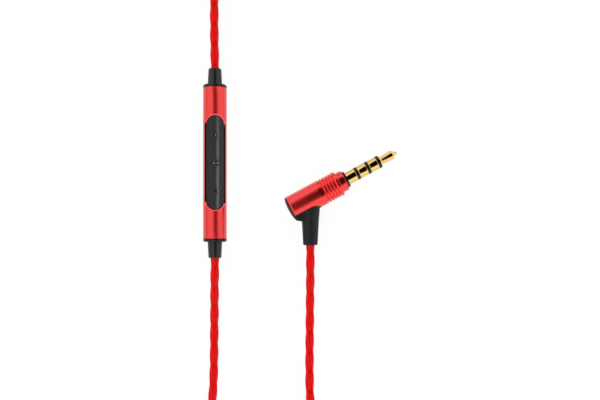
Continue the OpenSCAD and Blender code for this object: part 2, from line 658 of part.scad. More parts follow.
module ear_mesh(side) color("dimgray") on_ear(side) translate([0, 0, nozzle_end - 0.5])
    cylinder(r = sound_d / 2 - fit, h = 0.2);
module ear_boot(side) color([0.13, 0.13, 0.14]) on_ear(side)
    translate([0, 0, ear_boot_at]) rotate([-90, 0, 0]) rotate_extrude() polygon(concat(
        [[lead_d / 2 + cord_fit, ear_bore_r - 1.2], [ear_boot_root_r - fit, ear_bore_r - 1.2],
         [ear_boot_root_r - fit, ear_r]],
        rounded(ear_boot_tip_r, ear_r + ear_boot_len, boot_round),
        [[lead_d / 2 + cord_fit, ear_r + ear_boot_len]]
    ));
module ear_tip(side) color([0.2, 0.2, 0.21]) on_ear(side) rotate_extrude() polygon([
    [tip_bore_r, silicone_at], [tip_bore_r + 0.55, silicone_at],
    [tip_bore_r + 0.6, silicone_end - 2.6], [silicone_r - 2.2, silicone_end - 2.2],
    [silicone_r - 1.1, silicone_at + 2.4], [silicone_r - 0.45, silicone_at], [silicone_r, silicone_at],
    [silicone_r - 0.1, silicone_at + 1.2], [silicone_r - 0.7, silicone_at + 3],
    [silicone_r - 1.9, silicone_end - 1.1], [silicone_r - 3, silicone_end - 0.2],
    [silicone_r - 3.7, silicone_end], [sound_d / 2, silicone_end], [sound_d / 2, nozzle_end + 0.1],
    [tip_bore_r, nozzle_end + 0.1]
]);

remote_tube();
remote_chassis();
remote_cap(1);  // upper_end_cap
remote_cap(-1);  // lower_end_cap
remote_boot(1);  // upper_boot
remote_boot(-1);  // lower_boot
ferrule(1);  // upper_ferrule
ferrule(-1);  // lower_ferrule
circuit_board();
key_switches();
control_chip();
microphone();
microphone_gasket();
key(1);  // key_up
key(0);  // key_play
key(-1);  // key_down
plug_shell();
plug_boot();
plug_core();
jack_sleeve();
jack_rear_ring();
jack_front_ring();
jack_tip();
rear_insulator();
middle_insulator();
front_insulator();
upper_cord();
remote_cord();
coil(trunk_coil);  // cord_coil
plug_cord();
splitter_shell();
splitter_cord_cap();
splitter_lead_cap();
cinch();
left_lead();
coil(left_coil_rule);  // left_coil
left_lead_end();
right_lead();
coil(right_coil_rule);  // right_coil
right_lead_end();
ear_shell(-1);  // left_shell
ear_ring(-1);  // left_ring
ear_front(-1);  // left_front
ear_driver(-1);  // left_driver
ear_diaphragm(-1);  // left_diaphragm
ear_mesh(-1);  // left_mesh
ear_boot(-1);  // left_boot
ear_tip(-1);  // left_tip
ear_shell(1);  // right_shell
ear_ring(1);  // right_ring
ear_front(1);  // right_front
ear_driver(1);  // right_driver
ear_diaphragm(1);  // right_diaphragm
ear_mesh(1);  // right_mesh
ear_boot(1);  // right_boot
ear_tip(1);  // right_tip
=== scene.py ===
# %% [markdown]
# # Wired earphones laid out on a white table
#
# The camera looks straight down on the part of the cord that carries the
# three-key remote and on the angled plug. The rest of the earphones, the
# splitter, the two ear pieces and the wound-up cord, lies outside its view.
# The solids come from the construction model. Each cell below dresses one of
# them: a rounder shape, a finish, or both.

import json
import math

import bmesh
import bpy
import numpy as np
from mathutils import Euler, Matrix, Vector

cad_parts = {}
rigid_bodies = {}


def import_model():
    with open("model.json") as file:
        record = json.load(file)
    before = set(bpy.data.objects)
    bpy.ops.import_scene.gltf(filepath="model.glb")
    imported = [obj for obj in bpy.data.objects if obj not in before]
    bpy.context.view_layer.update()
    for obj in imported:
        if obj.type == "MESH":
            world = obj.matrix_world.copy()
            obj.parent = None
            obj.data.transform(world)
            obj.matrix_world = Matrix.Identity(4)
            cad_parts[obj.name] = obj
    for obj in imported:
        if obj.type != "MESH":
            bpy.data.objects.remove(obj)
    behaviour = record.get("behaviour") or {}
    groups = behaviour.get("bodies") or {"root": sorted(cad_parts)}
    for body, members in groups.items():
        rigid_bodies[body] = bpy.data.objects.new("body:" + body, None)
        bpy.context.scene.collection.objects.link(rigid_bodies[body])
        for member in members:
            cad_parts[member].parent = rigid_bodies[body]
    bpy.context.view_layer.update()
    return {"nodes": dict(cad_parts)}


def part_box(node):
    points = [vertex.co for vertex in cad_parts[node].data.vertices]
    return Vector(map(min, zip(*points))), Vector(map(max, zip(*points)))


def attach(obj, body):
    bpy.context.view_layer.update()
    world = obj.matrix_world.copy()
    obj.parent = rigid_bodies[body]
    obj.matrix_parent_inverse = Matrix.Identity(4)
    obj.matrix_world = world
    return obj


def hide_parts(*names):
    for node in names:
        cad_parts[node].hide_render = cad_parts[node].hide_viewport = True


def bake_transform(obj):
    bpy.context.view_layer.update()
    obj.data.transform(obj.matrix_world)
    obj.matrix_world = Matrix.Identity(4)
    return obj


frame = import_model()
solids = frame["nodes"]
MM = 0.001

# %% [markdown]
# ## Camera
#
# Places are given in millimetres from the middle of the view. The remote's
# solid says where that middle is, so the layout follows the model. A camera
# 20 cm up sees the ends of the tubes as gentle arcs, as an eye over the table
# would; a parallel projection would draw them straight. It stands over the
# lower half of the view and looks straight down, and a small lens shift
# brings the upper half in.

# %% Layout and camera
tube_low, tube_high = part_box("remote_tube")
REMOTE_AT = (-23, 9.87, 3.2)
layout = (tube_low + tube_high) / 2 / MM - Vector(REMOTE_AT)
VIEW_WIDTH = 162.16
CAMERA_HEIGHT = 200  # over the plane at MIDDLE_HEIGHT, where the view is VIEW_WIDTH wide
CAMERA_FOOT = -10.54  # how far up the view the camera stands; minus is down
MIDDLE_HEIGHT = 3.3


def spot(x, y, z):
    """A place in the layout, in millimetres, as a point of the scene."""
    return (layout + Vector((x, y, z))) * MM


view = bpy.data.cameras.new("view")
view.sensor_width = 36
view.lens = view.sensor_width * CAMERA_HEIGHT / VIEW_WIDTH
view.shift_y = -CAMERA_FOOT / VIEW_WIDTH
view.clip_start = 0.01
camera = bpy.data.objects.new("camera", view)
camera.location = spot(0, CAMERA_FOOT, MIDDLE_HEIGHT + CAMERA_HEIGHT)
bpy.context.scene.collection.objects.link(camera)
bpy.context.scene.camera = camera
print(f"camera {view.lens:.1f} mm over {tuple(round(c, 4) for c in camera.location)}")

# %% [markdown]
# ## Where the cords run
#
# A cord is a line first and a surface second. Each route is a few points that
# a smooth curve runs through, and the spare length is wound into a flat coil
# of two layers: the turns spiral inwards, climb, and spiral out again on top,
# so that both ends come off the outside. The line is then spaced evenly and
# softened a little, because a real cord has no corner anywhere.

# %% Smooth routes and coils
def flowing(points, per_stretch=16):
    """A curve through points in millimetres (Catmull-Rom)."""
    points = np.array(points, float)
    ends = [2 * points[0] - points[1], 2 * points[-1] - points[-2]]
    p = np.vstack([ends[0], points, ends[1]])
    t = (np.arange(per_stretch) / per_stretch)[:, None]
    parts = [
        0.5 * (2 * b + (c - a) * t + (2 * a - 5 * b + 4 * c - d) * t**2 + (3 * b - a - 3 * c + d) * t**3)
        for a, b, c, d in zip(p, p[1:], p[2:], p[3:])
    ]
    return np.vstack([*parts, points[-1:]])


def wound(middle, inner_radius, step, turns, first_angle, sense, thickness):
    """A flat coil of two layers, with a short straight lead-in and lead-out."""
    turn = np.linspace(0, turns, int(turns * 72))
    angle = np.radians(first_angle + sense * 360 * turn)
    radius = inner_radius + step * np.abs(turn - turns / 2)
    climb = (thickness + 0.03) * np.clip(2 * (turn - turns / 2) + 0.5, 0, 1)
    line = np.array(middle) + np.stack([radius * np.cos(angle), radius * np.sin(angle), climb], axis=1)
    heading = sense * np.stack([-np.sin(angle), np.cos(angle), 0 * angle], axis=1)
    return np.vstack([line[0] - thickness * heading[0], line, line[-1] + thickness * heading[-1]])


def evened(line, step=0.5, softness=1.6):
    """The same line with points step apart, softened over about that many millimetres."""
    along = np.concatenate([[0], np.cumsum(np.linalg.norm(np.diff(line, axis=0), axis=1))])
    at = np.linspace(0, along[-1], int(along[-1] / step) + 1)
    line = np.stack([np.interp(at, along, line[:, k]) for k in range(3)], axis=1)
    reach = int(4 * softness / step)
    weights = np.exp(-0.5 * (np.arange(-reach, reach + 1) * step / softness) ** 2)
    before = 2 * line[0] - line[reach:0:-1]
    after = 2 * line[-1] - line[-2 : -reach - 2 : -1]
    padded = np.vstack([before, line, after])
    return np.stack([np.convolve(padded[:, k], weights / weights.sum(), "valid") for k in range(3)], axis=1)


def length_of(line):
    return np.linalg.norm(np.diff(line, axis=0), axis=1).sum()


# %% The routes of the four cords
CORD, LEAD = 2.4, 2.0
upper_line = evened(flowing([
    (-23, 28.8, 3.2), (-23, 36.4, 3.2), (-23.15, 42, 3.1), (-23.2, 48, 3), (-23.2, 54, 3), (-23.15, 60, 3),
]))
trunk_line = evened(np.vstack([
    flowing([
        (-23, -9.2, 3.2), (-23, -16.6, 3.2), (-23.1, -20.5, 2.9), (-23.23, -25, 2.1), (-23.33, -30, 1.4),
        (-23.4, -35, 1.2), (-23.46, -42, 1.2), (-23.6, -49, 1.2), (-24, -55, 1.2), (-24.7, -61, 1.2),
        (-25.1, -66.5, 1.2),
    ]),
    wound((-6.8, -74, CORD / 2), 8.8, CORD + 0.46, 6.625, 180, 1, CORD),
    flowing([
        (3, -56.6, 3.55), (2.65, -52.5, 3.1), (2.6, -47.5, 2), (2.6, -42.5, 1.3), (2.65, -37, 1.2),
        (2.7, -31.5, 1.2), (2.75, -26, 1.6), (2.8, -21, 2.6), (2.8, -17, 3.3), (2.8, -13, 3.5),
        (2.8, -9.4, 3.5),
    ]),
]))
left_line = evened(np.vstack([
    flowing([
        (-24.3, 65.8, 3), (-24.3, 74, 3), (-24.3, 82, 3), (-24.5, 86, 2.4), (-24.9, 91, 1.3), (-25.2, 96, 1),
    ]),
    wound((-12.4, 101.6, LEAD / 2), 7.2, LEAD + 0.46, 4.5, 180, -1, LEAD),
    flowing([
        (0.2, 94.5, 3.1), (-0.1, 90.5, 3.5), (-0.7, 86.5, 4.4), (-1.4, 82.5, 5.4), (-1.8, 78.5, 6),
        (-1.8, 75, 6),
    ]),
]))
right_line = evened(np.vstack([
    flowing([
        (-22, 65.8, 3), (-22, 74, 3), (-22, 82, 3), (-21.2, 85, 2.7), (-19, 87.2, 2.1), (-16, 88, 1.5),
        (-11, 88, 1.05), (-5, 88, 1), (1, 88, 1), (7, 88, 1),
    ]),
    wound((16, 101.1, LEAD / 2), 8.5, LEAD + 0.46, 3.75, 270, 1, LEAD),
    flowing([
        (3, 94.5, 3.1), (3.5, 90.5, 3.5), (4.7, 86.5, 4.4), (6.1, 82.5, 5.4), (6.8, 78.5, 6), (6.8, 75, 6),
    ]),
]))
for name, line in (("upper", upper_line), ("trunk", trunk_line), ("left", left_line), ("right", right_line)):
    print(f"{name} cord: {length_of(line):.1f} mm along {len(line)} points")

# %% [markdown]
# ## Finishes
#
# Every finish is one Principled shader, and all but the woven steel at the end
# have a grain on it. The grain is noise measured in millimetres in the piece's
# own space: it lifts the surface by some microns, moves the roughness between
# two values and shades the colour. Even a polished part has some, and it is
# what keeps a large highlight from looking like plastic wrap. Values that are
# the same all over sit on the shader's own sockets.

# %% How a finish is made
def add_node(tree, kind, inputs=(), operation=None):
    """A node with inputs that are plain values or the outputs of other nodes."""
    node = tree.nodes.new(f"ShaderNode{kind}")
    if operation:
        node.operation = operation
    for socket, value in dict(inputs).items():
        if isinstance(value, bpy.types.NodeSocket):
            tree.links.new(value, node.inputs[socket])
        else:
            node.inputs[socket].default_value = value
    return node


def mixed(tree, factor, start, end):
    """The colour between two colours, by a factor from another node."""
    mix = tree.nodes.new("ShaderNodeMix")
    mix.data_type = "RGBA"
    mix.inputs["A"].default_value = start
    mix.inputs["B"].default_value = end
    tree.links.new(factor, mix.inputs["Factor"])
    return mix.outputs["Result"]


def finish(name, colour, metallic=0.0, kind="", **steady):
    """A material with one Principled shader; steady holds sockets that don't vary."""
    material = bpy.data.materials.new(f"{name}_finish{kind}")
    material.use_nodes = True
    shader = material.node_tree.nodes["Principled BSDF"]
    shader.inputs["Base Color"].default_value = (*colour, 1)
    shader.inputs["Metallic"].default_value = metallic
    for socket, value in steady.items():
        shader.inputs[socket.replace("_", " ")].default_value = value
    return material


def grained(material, size, depth, roughness, shade=0.1, stretch=(1, 1, 1), detail=3.0):
    """Grain of a size and depth in millimetres, with a roughness between two values."""
    tree = material.node_tree
    shader = tree.nodes["Principled BSDF"]
    colour = shader.inputs["Base Color"].default_value[:]
    where = add_node(tree, "TexCoord").outputs["Object"]
    scale = add_node(tree, "Mapping", {"Vector": where, "Scale": [s / (size * MM) for s in stretch]})
    noise = add_node(tree, "TexNoise", {"Vector": scale.outputs["Vector"], "Scale": 1, "Detail": detail})
    grain = noise.outputs["Fac"]
    bump = add_node(tree, "Bump", {"Height": grain, "Distance": depth * MM})
    spread = add_node(tree, "MapRange", {
        "Value": grain, "From Min": 0.3, "From Max": 0.7, "To Min": roughness[0], "To Max": roughness[1],
    })
    tint = mixed(tree, grain, colour, [c * (1 - shade) for c in colour[:3]] + [1])
    tree.links.new(bump.outputs["Normal"], shader.inputs["Normal"])
    tree.links.new(spread.outputs["Result"], shader.inputs["Roughness"])
    tree.links.new(tint, shader.inputs["Base Color"])
    return material


# %% [markdown]
# The cord's jacket is a clear red elastomer: light goes a little way in and
# comes back deeper, so the body gets some subsurface scattering under a soft
# gloss. The metal is dyed in its oxide layer: the red is in the reflection
# itself, which makes it a metallic base, and the sealed oxide on top mirrors
# white, which makes it a coat. Where a cutter goes through the dyed skin at the
# window's edge, the metal is brighter and has no coat.

# %% Finishes of the cord and the metal
cord_red = grained(
    finish("cord_red", (0.9, 0.0035, 0.0018), Subsurface_Weight=0.2, Subsurface_Scale=0.0005,
           Specular_IOR_Level=0.12),
    size=1.2, depth=0.004, roughness=(0.16, 0.24), shade=0.1,
)
DYED = (0.99, 0.037, 0.034)
SEALED = {"metallic": 1, "Coat_Weight": 0.9, "Coat_Roughness": 0.15}
red_anodised = grained(
    finish("red_anodised", DYED, **SEALED),
    size=0.09, depth=0.0012, roughness=(0.34, 0.42), shade=0.14, detail=2, stretch=(1, 1, 0.1),
)
red_polished = grained(
    finish("red_anodised", DYED, kind=".polished", **SEALED),
    size=0.09, depth=0.0006, roughness=(0.2, 0.26), shade=0.1, detail=2, stretch=(1, 1, 0.1),
)
red_cut = grained(
    finish("red_anodised", (0.94, 0.13, 0.115), metallic=1, kind=".cut"),
    size=0.09, depth=0.0004, roughness=(0.08, 0.14), shade=0.1, detail=2,
)
gold = grained(
    finish("gold", (0.96, 0.69, 0.225), metallic=1),
    size=0.35, depth=0.0003, roughness=(0.03, 0.08), shade=0.12, stretch=(1, 1, 14),
)
print("cord, anodised and gold finishes ready")

# %% [markdown]
# The black parts differ only in their skin: the collars are polished, the
# boots are moulded rubber with a fine erosion texture, and the key strip is a
# hard silicone that is smoother than the boots.

# %% Finishes of the black parts
black_gloss = grained(finish("black_gloss", (0.006, 0.006, 0.007), Specular_IOR_Level=0.35),
                      size=0.3, depth=0.0008, roughness=(0.1, 0.16))
black_soft = grained(finish("black_soft", (0.007, 0.007, 0.0075)),
                     size=0.11, depth=0.003, roughness=(0.24, 0.33), shade=0.3)
black_matt = grained(finish("black_soft", (0.01, 0.01, 0.0105), kind=".matt", Specular_IOR_Level=0.28),
                     size=0.13, depth=0.004, roughness=(0.42, 0.54), shade=0.3)
key_black = grained(finish("key_black", (0.027, 0.027, 0.0275), Specular_IOR_Level=0.1),
                    size=0.09, depth=0.002, roughness=(0.22, 0.3), shade=0.3)
key_polished = grained(finish("key_black", (0.004, 0.004, 0.0045), kind=".polished", Specular_IOR_Level=0.55),
                       size=0.2, depth=0.0003, roughness=(0.05, 0.09))
silicone = grained(finish("silicone", (0.03, 0.03, 0.032), Subsurface_Weight=0.3, Subsurface_Scale=0.0006),
                   size=0.2, depth=0.003, roughness=(0.36, 0.48), shade=0.2)
inner_plastic = grained(finish("inner_plastic", (0.03, 0.03, 0.034)),
                        size=0.25, depth=0.006, roughness=(0.45, 0.6), shade=0.3)
gasket_rubber = grained(finish("gasket_rubber", (0.025, 0.025, 0.026)),
                        size=0.15, depth=0.005, roughness=(0.6, 0.75), shade=0.3)
print("black finishes ready")

# %% [markdown]
# Nobody sees the parts inside until the object is taken apart: a green board
# under clear lacquer, steel switches, ferrules and drivers, a brass-coloured
# microphone can and the thin amber film of the diaphragms. They get finishes
# of their own too, made in the same way.

# %% Finishes of the parts inside
board_green = grained(finish("board_green", (0.012, 0.11, 0.04), Coat_Weight=0.4, Coat_Roughness=0.15),
                      size=0.5, depth=0.006, roughness=(0.3, 0.45), shade=0.35, stretch=(1, 0.2, 1))
steel = grained(finish("steel", (0.56, 0.57, 0.58), metallic=1),
                size=0.2, depth=0.001, roughness=(0.2, 0.34), shade=0.15, stretch=(1, 6, 1))
microphone_can = grained(finish("microphone_can", (0.8, 0.62, 0.34), metallic=1),
                         size=0.15, depth=0.001, roughness=(0.24, 0.36), shade=0.15)
film = grained(finish("film", (0.55, 0.42, 0.22), Coat_Weight=0.6, Coat_Roughness=0.1),
               size=0.6, depth=0.01, roughness=(0.25, 0.4), shade=0.2)
print("inner finishes ready")

# %% [markdown]
# ## How pieces are made
#
# Most pieces are turned: a profile of corners spun round an axis. Every corner
# that a finger or a mould would break gets a small rounding, because a real
# edge catches a thin line of light and a perfect one does not. `stand` places
# a piece the way the construction model does: a point, then turns about X, Y
# and Z.

# %% Placing, meshing and turning
def stand(x, y, z, turn=(0, 0, 0)):
    """A placement: a spot in the layout and turns in degrees about X, Y and Z."""
    angles = Euler([math.radians(a) for a in turn])
    return Matrix.Translation(spot(x, y, z)) @ angles.to_matrix().to_4x4()


def tidy_mesh(name, vertices, faces, sharp=34):
    """A mesh in metres from millimetres, without doubled points and with sharp edges marked."""
    mesh = bpy.data.meshes.new(name)
    mesh.from_pydata([tuple(c * MM for c in v) for v in vertices], [], faces)
    work = bmesh.new()
    work.from_mesh(mesh)
    bmesh.ops.remove_doubles(work, verts=work.verts, dist=0.0005 * MM)
    bmesh.ops.dissolve_degenerate(work, edges=work.edges, dist=0.0005 * MM)
    bmesh.ops.delete(work, geom=[v for v in work.verts if not v.link_faces], context="VERTS")
    bmesh.ops.recalc_face_normals(work, faces=work.faces)
    work.to_mesh(mesh)
    work.free()
    mesh.shade_smooth()
    mesh.set_sharp_from_angle(angle=math.radians(sharp))
    return mesh


def piece(name, mesh, material, place=None, body="earphones", stands_for=()):
    """Puts a mesh in the scene in place of the solids that it stands for."""
    thing = bpy.data.objects.new(name, mesh)
    bpy.context.scene.collection.objects.link(thing)
    if place is not None:
        thing.matrix_world = place
    mesh.materials.append(material)
    if stands_for:
        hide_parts(*stands_for)
    if body:
        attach(thing, body)
    return thing


def steady_shading(thing):
    """Lets the large faces of a piece keep their own shading, so that only its edges look rounded."""
    weighted = thing.modifiers.new("weighted normals", "WEIGHTED_NORMAL")
    weighted.keep_sharp, weighted.weight = True, 80
    return thing


def outline(corners, steps=5):
    """Corners (radius, height[, rounding]) of a closed profile, with each rounding drawn as an arc."""
    drawn = []
    for i, corner in enumerate(corners):
        here = np.array(corner[:2], float)
        if len(corner) < 3:
            drawn.append(here)
            continue
        sides = [np.array(corners[k % len(corners)][:2], float) - here for k in (i - 1, i + 1)]
        lengths = [np.linalg.norm(side) for side in sides]
        ends = [here + side / long * min(corner[2], 0.49 * long) for side, long in zip(sides, lengths)]
        for t in np.linspace(0, 1, steps + 1):
            drawn.append((1 - t) ** 2 * ends[0] + 2 * t * (1 - t) * here + t * t * ends[1])
    return drawn


def turned(name, corners, material, place, body="earphones", stands_for=(), around=96):
    """A piece turned about the z axis of its placement."""
    angles = np.linspace(0, 2 * math.pi, around, False)
    vertices, rings = [], []
    for r, z in outline(corners):
        if r < 1e-6:
            rings.append([len(vertices)] * around)
            vertices.append((0, 0, z))
            continue
        rings.append(list(range(len(vertices), len(vertices) + around)))
        vertices += [(r * math.cos(a), r * math.sin(a), z) for a in angles]
    faces = []
    for a, b in zip(rings, rings[1:] + rings[:1]):
        for k in range(around):
            quad = [a[k], a[(k + 1) % around], b[(k + 1) % around], b[k]]
            quad = [v for i, v in enumerate(quad) if v != quad[i - 1]]
            if len(set(quad)) > 2:
                faces.append(quad)
    return steady_shading(piece(name, tidy_mesh(name, vertices, faces), material, place, body, stands_for))


# %% [markdown]
# ## The twisted cords
#
# The trunk is four insulated strands twisted together and drawn into a tight
# skin, the leads are two. The skin bridges the grooves, so what is left is a
# round cord with low lobes that wind round it. Each ring of the mesh is turned
# a little further than the one before. A bump map could fake the lobes, but
# not the way the outline swells and narrows. Each ear lead starts thinner, so
# that the cinch slides over it.

# %% Twist the cords
def lofted(rings, across, first=0):
    """Faces between rings of as many points each, and a cap on the first and the last ring."""
    last = first + (rings - 1) * across
    faces = [
        (a + k, a + (k + 1) % across, a + across + (k + 1) % across, a + across + k)
        for a in range(first, last, across) for k in range(across)
    ]
    return faces + [list(range(first, first + across)), list(range(last, last + across))]


DRAWN_UNTIL, DRAWN_EASE = 22, 4  # mm of a lead: where the thinner start ends, and over how much it eases off


def twisted(name, line, lobes, thickness, swell, pitch, stands_for, sides=32, spacing=0.6, drawn_in=0):
    """A cord whose lobes reach the given thickness and dip by swell between them.

    drawn_in is how much thinner its start is, where the cinch slides on it."""
    line = evened(line, spacing, 0.4)
    ahead = np.gradient(line, axis=0)
    ahead /= np.linalg.norm(ahead, axis=1)[:, None]
    side = np.cross(ahead, (0, 0, 1))
    side /= np.linalg.norm(side, axis=1)[:, None]
    up = np.cross(side, ahead)
    along = np.concatenate([[0], np.cumsum(np.linalg.norm(np.diff(line, axis=0), axis=1))])
    around = np.linspace(0, 2 * math.pi, sides, False)
    twist = 2 * math.pi * along / pitch
    radius = thickness / 2 - swell / 2 * (1 - np.cos(lobes * (around[None, :] - twist[:, None])))
    radius -= drawn_in / 2 * np.clip((DRAWN_UNTIL - along) / DRAWN_EASE, 0, 1)[:, None]
    out = np.cos(around)[None, :, None] * side[:, None] + np.sin(around)[None, :, None] * up[:, None]
    shift = np.array(layout)
    skin = (line[:, None] + radius[:, :, None] * out + shift).reshape(-1, 3)
    faces = lofted(len(line), sides)
    cord = piece(name, tidy_mesh(name, skin, faces), cord_red, stands_for=stands_for)
    print(f"{name}: {lobes} lobes, {len(faces)} faces")
    return cord, [tuple((p + shift) * MM) for p in line]


FOUR_STRANDS = {"lobes": 4, "thickness": CORD, "swell": 0.19, "pitch": 21.6}
TWO_STRANDS = {"lobes": 2, "thickness": LEAD, "swell": 0.24, "pitch": 14, "sides": 24, "drawn_in": 0.16}
upper_cord, upper_path = twisted("cord_to_splitter", upper_line, stands_for=["upper_cord"], **FOUR_STRANDS)
trunk_cord, trunk_path = twisted("cord_to_plug", trunk_line,
                                 stands_for=["remote_cord", "cord_coil", "plug_cord"], **FOUR_STRANDS)
left_cord, left_path = twisted("left_ear_lead", left_line,
                               stands_for=["left_lead", "left_coil", "left_lead_end"], **TWO_STRANDS)
right_cord, right_path = twisted("right_ear_lead", right_line,
                                 stands_for=["right_lead", "right_coil", "right_lead_end"], **TWO_STRANDS)

# %% [markdown]
# ## The remote's tube
#
# The tube is drawn and anodised, then a window with round ends is milled into
# its top and bevelled. A boolean cut would leave long thin triangles round the
# window, so the mesh is built as rows along the tube instead: each row starts
# and ends at the window's edge, and rows past the window close up. The bevel
# is one more loop between the outer and the inner skin, and its faces get the
# brighter cut finish.

# %% A tube with a window or a slot in its side
def on_skin(r, x, z):
    """The point of a tube's back that lies x beside its middle line."""
    return (x, math.sqrt(r * r - x * x), z)


def opened_tube(name, rows, material, place, stands_for, around=112, port=None, turn=0):
    """rows holds, per row along the tube, layers (z, radius, half width of the opening), outermost first.

    port is (first of its five rows, radius of the hole) for a drilled hole in the back."""
    vertices, skins, rims = [], [], []
    for row in rows:
        skin = []
        for z, r, half in (row[0], row[-1]):
            edge = math.asin(min(1, half / r))
            skin.append(range(len(vertices), len(vertices) + around + 1))
            vertices += [(r * math.sin(a), -r * math.cos(a), z)
                         for a in np.linspace(edge, 2 * math.pi - edge, around + 1)]
        rim = []
        for sign in (1, -1):
            inner = []
            for z, r, half in row[1:-1]:
                inner.append(len(vertices))
                vertices.append((sign * half, -math.sqrt(r * r - half * half), z))
            k = 0 if sign > 0 else around
            rim.append([skin[0][k], *inner, skin[1][k]])
        skins.append(skin)
        rims.append(rim)
    drilled, faces = set(), []
    if port:
        first, hole = port
        drilled = {(first + i, around // 2 - 2 + k) for i in range(4) for k in range(4)}
        ring = [(2, k) for k in range(-2, 2)] + [(-k, 2) for k in range(-2, 2)]
        ring += [(-2, -k) for k in range(-2, 2)] + [(k, -2) for k in range(-2, 2)]
        middle = rows[first + 2][0][0]
        loops = []
        for layer, r in ((0, rows[first][0][1]), (1, rows[first][-1][1])):
            loop = []
            for i, k in ring:
                v = skins[first + 2 + i][layer][around // 2 + k]
                vertices[v] = on_skin(r, -hole * k / math.hypot(i, k), middle + hole * i / math.hypot(i, k))
                loop.append(v)
            loops.append(loop)
        outer, inner = loops
        faces += [(outer[k - 1], outer[k], inner[k], inner[k - 1]) for k in range(len(outer))]
    for i in range(len(rows) - 1):
        for a, b in zip(skins[i], skins[i + 1]):
            faces += [(a[k], a[k + 1], b[k + 1], b[k]) for k in range(around) if (i, k) not in drilled]
        if max(rows[i][0][2], rows[i + 1][0][2]) > 1e-6:
            for a, b in zip(rims[i], rims[i + 1]):
                faces += [(a[k], a[k + 1], b[k + 1], b[k]) for k in range(len(a) - 1)]
    for i in (0, -1):
        outer, inner = skins[i]
        faces += [(outer[k], outer[k + 1], inner[k + 1], inner[k]) for k in range(around)]
        if rows[i][0][2] > 0:
            faces += rims[i]
    mesh = tidy_mesh(name, vertices, faces)
    mesh.transform(Matrix.Rotation(math.radians(turn), 4, "Z"))
    return steady_shading(piece(name, mesh, material, place, stands_for=stands_for))


# %% The remote's tube
ROLL = 8  # the remote lies rolled a little towards the plug
rolled = Matrix.Rotation(math.radians(ROLL), 4, "Z")
on_remote = stand(*REMOTE_AT, (-90, 0, 0))
TUBE_R, TUBE_BORE, TUBE_END = 3.2, 2.8, 20.3
WINDOW_HALF, WINDOW_RUN, BEVEL_WIDE, BEVEL_DEEP = 2.45, 10.15, 0.33, 0.3
PORT_AT, PORT_R = 13.55, 0.4


def window_row(z, angle, direction):
    """A row across the window: straight where angle is 0, else round its end."""
    row = []
    for out, drop in ((BEVEL_WIDE, 0), (0, BEVEL_DEEP)):
        half = WINDOW_HALF + out
        row.append((z + direction * half * math.sin(angle), TUBE_R - drop, half * math.cos(angle)))
    z_in, _, half_in = row[-1]
    return row + [(z_in, TUBE_BORE, half_in)]


def plain_row(z, r=TUBE_R):
    return [(z, r, 0), (z, r, 0), (z, TUBE_BORE, 0)]


quarter = np.linspace(0, math.pi / 2, 15)
window_end = WINDOW_RUN + WINDOW_HALF + BEVEL_WIDE
end_rows = [(TUBE_END - dz, TUBE_R - dr) for dz, dr in ((0.1, 0), (0.05, 0.012), (0.02, 0.04), (0, 0.1))]
after = [window_end + dz for dz in (0.05, 0.15)]
rows = [plain_row(-z, r) for z, r in end_rows[::-1]]
rows += [plain_row(-z) for z in (18, 16, 14.5, *after[::-1])]
rows += [window_row(-WINDOW_RUN, a, -1) for a in quarter[::-1]]
rows += [window_row(z, 0, 0) for z in np.linspace(-WINDOW_RUN, WINDOW_RUN, 13)[1:-1]]
rows += [window_row(WINDOW_RUN, a, 1) for a in quarter]
rows += [plain_row(z) for z in after]
port_row = len(rows)
rows += [plain_row(PORT_AT + dz) for dz in (-0.36, -0.18, 0, 0.18, 0.36)]
rows += [plain_row(z) for z in (14.5, 16, 18)] + [plain_row(z, r) for z, r in end_rows]
remote_sleeve = opened_tube("remote_sleeve", rows, red_anodised, on_remote, ["remote_tube"],
                            port=(port_row, PORT_R), turn=ROLL)
remote_sleeve.data.materials.append(red_cut)
for face in remote_sleeve.data.polygons:
    x, y, z = face.center / MM
    if TUBE_R - BEVEL_DEEP < math.hypot(x, y) < TUBE_R - 0.05 and abs(z) < window_end:
        face.material_index = 1
print(f"remote sleeve: {len(remote_sleeve.data.polygons)} faces")

# %% [markdown]
# ## The key strip
#
# One strip of firm silicone fills the window. It is crowned like the tube, has
# a shallow dish for the fingertip at each key, and bends when a key is
# pressed. It is cut between the keys and at the middle of each key into six
# halves; here they stand still and don't move with their keys.

# %% Shape of the strip
KEY_PITCH, STRIP_HALF, STRIP_RUN, STRIP_EDGE = 7.57, 2.35, 10.15, 0.13
KEYS_AT = -0.15
CROWN, FLOOR, DISH, DISH_R = 3.0, 1.0, 0.045, 11.0
KEYS = {"key_down": -1, "key_play": 0, "key_up": 1}


def key_middle(name):
    return KEYS_AT + KEYS[name] * KEY_PITCH


def strip_height(x, y):
    """Height of the strip's skin over the tube's axis."""
    heights = [math.sqrt(CROWN**2 - x * x)]
    for name in KEYS:
        away = x * x + (y - key_middle(name)) ** 2
        heights.append(CROWN + DISH_R - DISH - math.sqrt(max(0, DISH_R**2 - away)))
    soft = 0.035
    return -soft * math.log(sum(math.exp(-h / soft) for h in heights))


def strip_row(y, angle=0.0, direction=0, columns=24):
    """One row across the strip, from its lower left edge over the top to its lower right edge."""
    def place(inset):
        half = STRIP_HALF - inset
        return half * math.cos(angle), y + direction * half * math.sin(angle)

    half, y_top = place(STRIP_EDGE)
    row = [(x, y_top, strip_height(x, y_top)) for x in np.linspace(-half, half, columns + 1)]
    side = []
    for a in np.linspace(0, math.pi / 2, 5)[1:]:
        x, y_side = place(STRIP_EDGE * (1 - math.sin(a)))
        side.append((x, y_side, strip_height(half, y_top) - STRIP_EDGE * (1 - math.cos(a))))
    side.append((side[-1][0], side[-1][1], FLOOR))
    return [(-x, y_, z) for x, y_, z in side[::-1]] + row + side


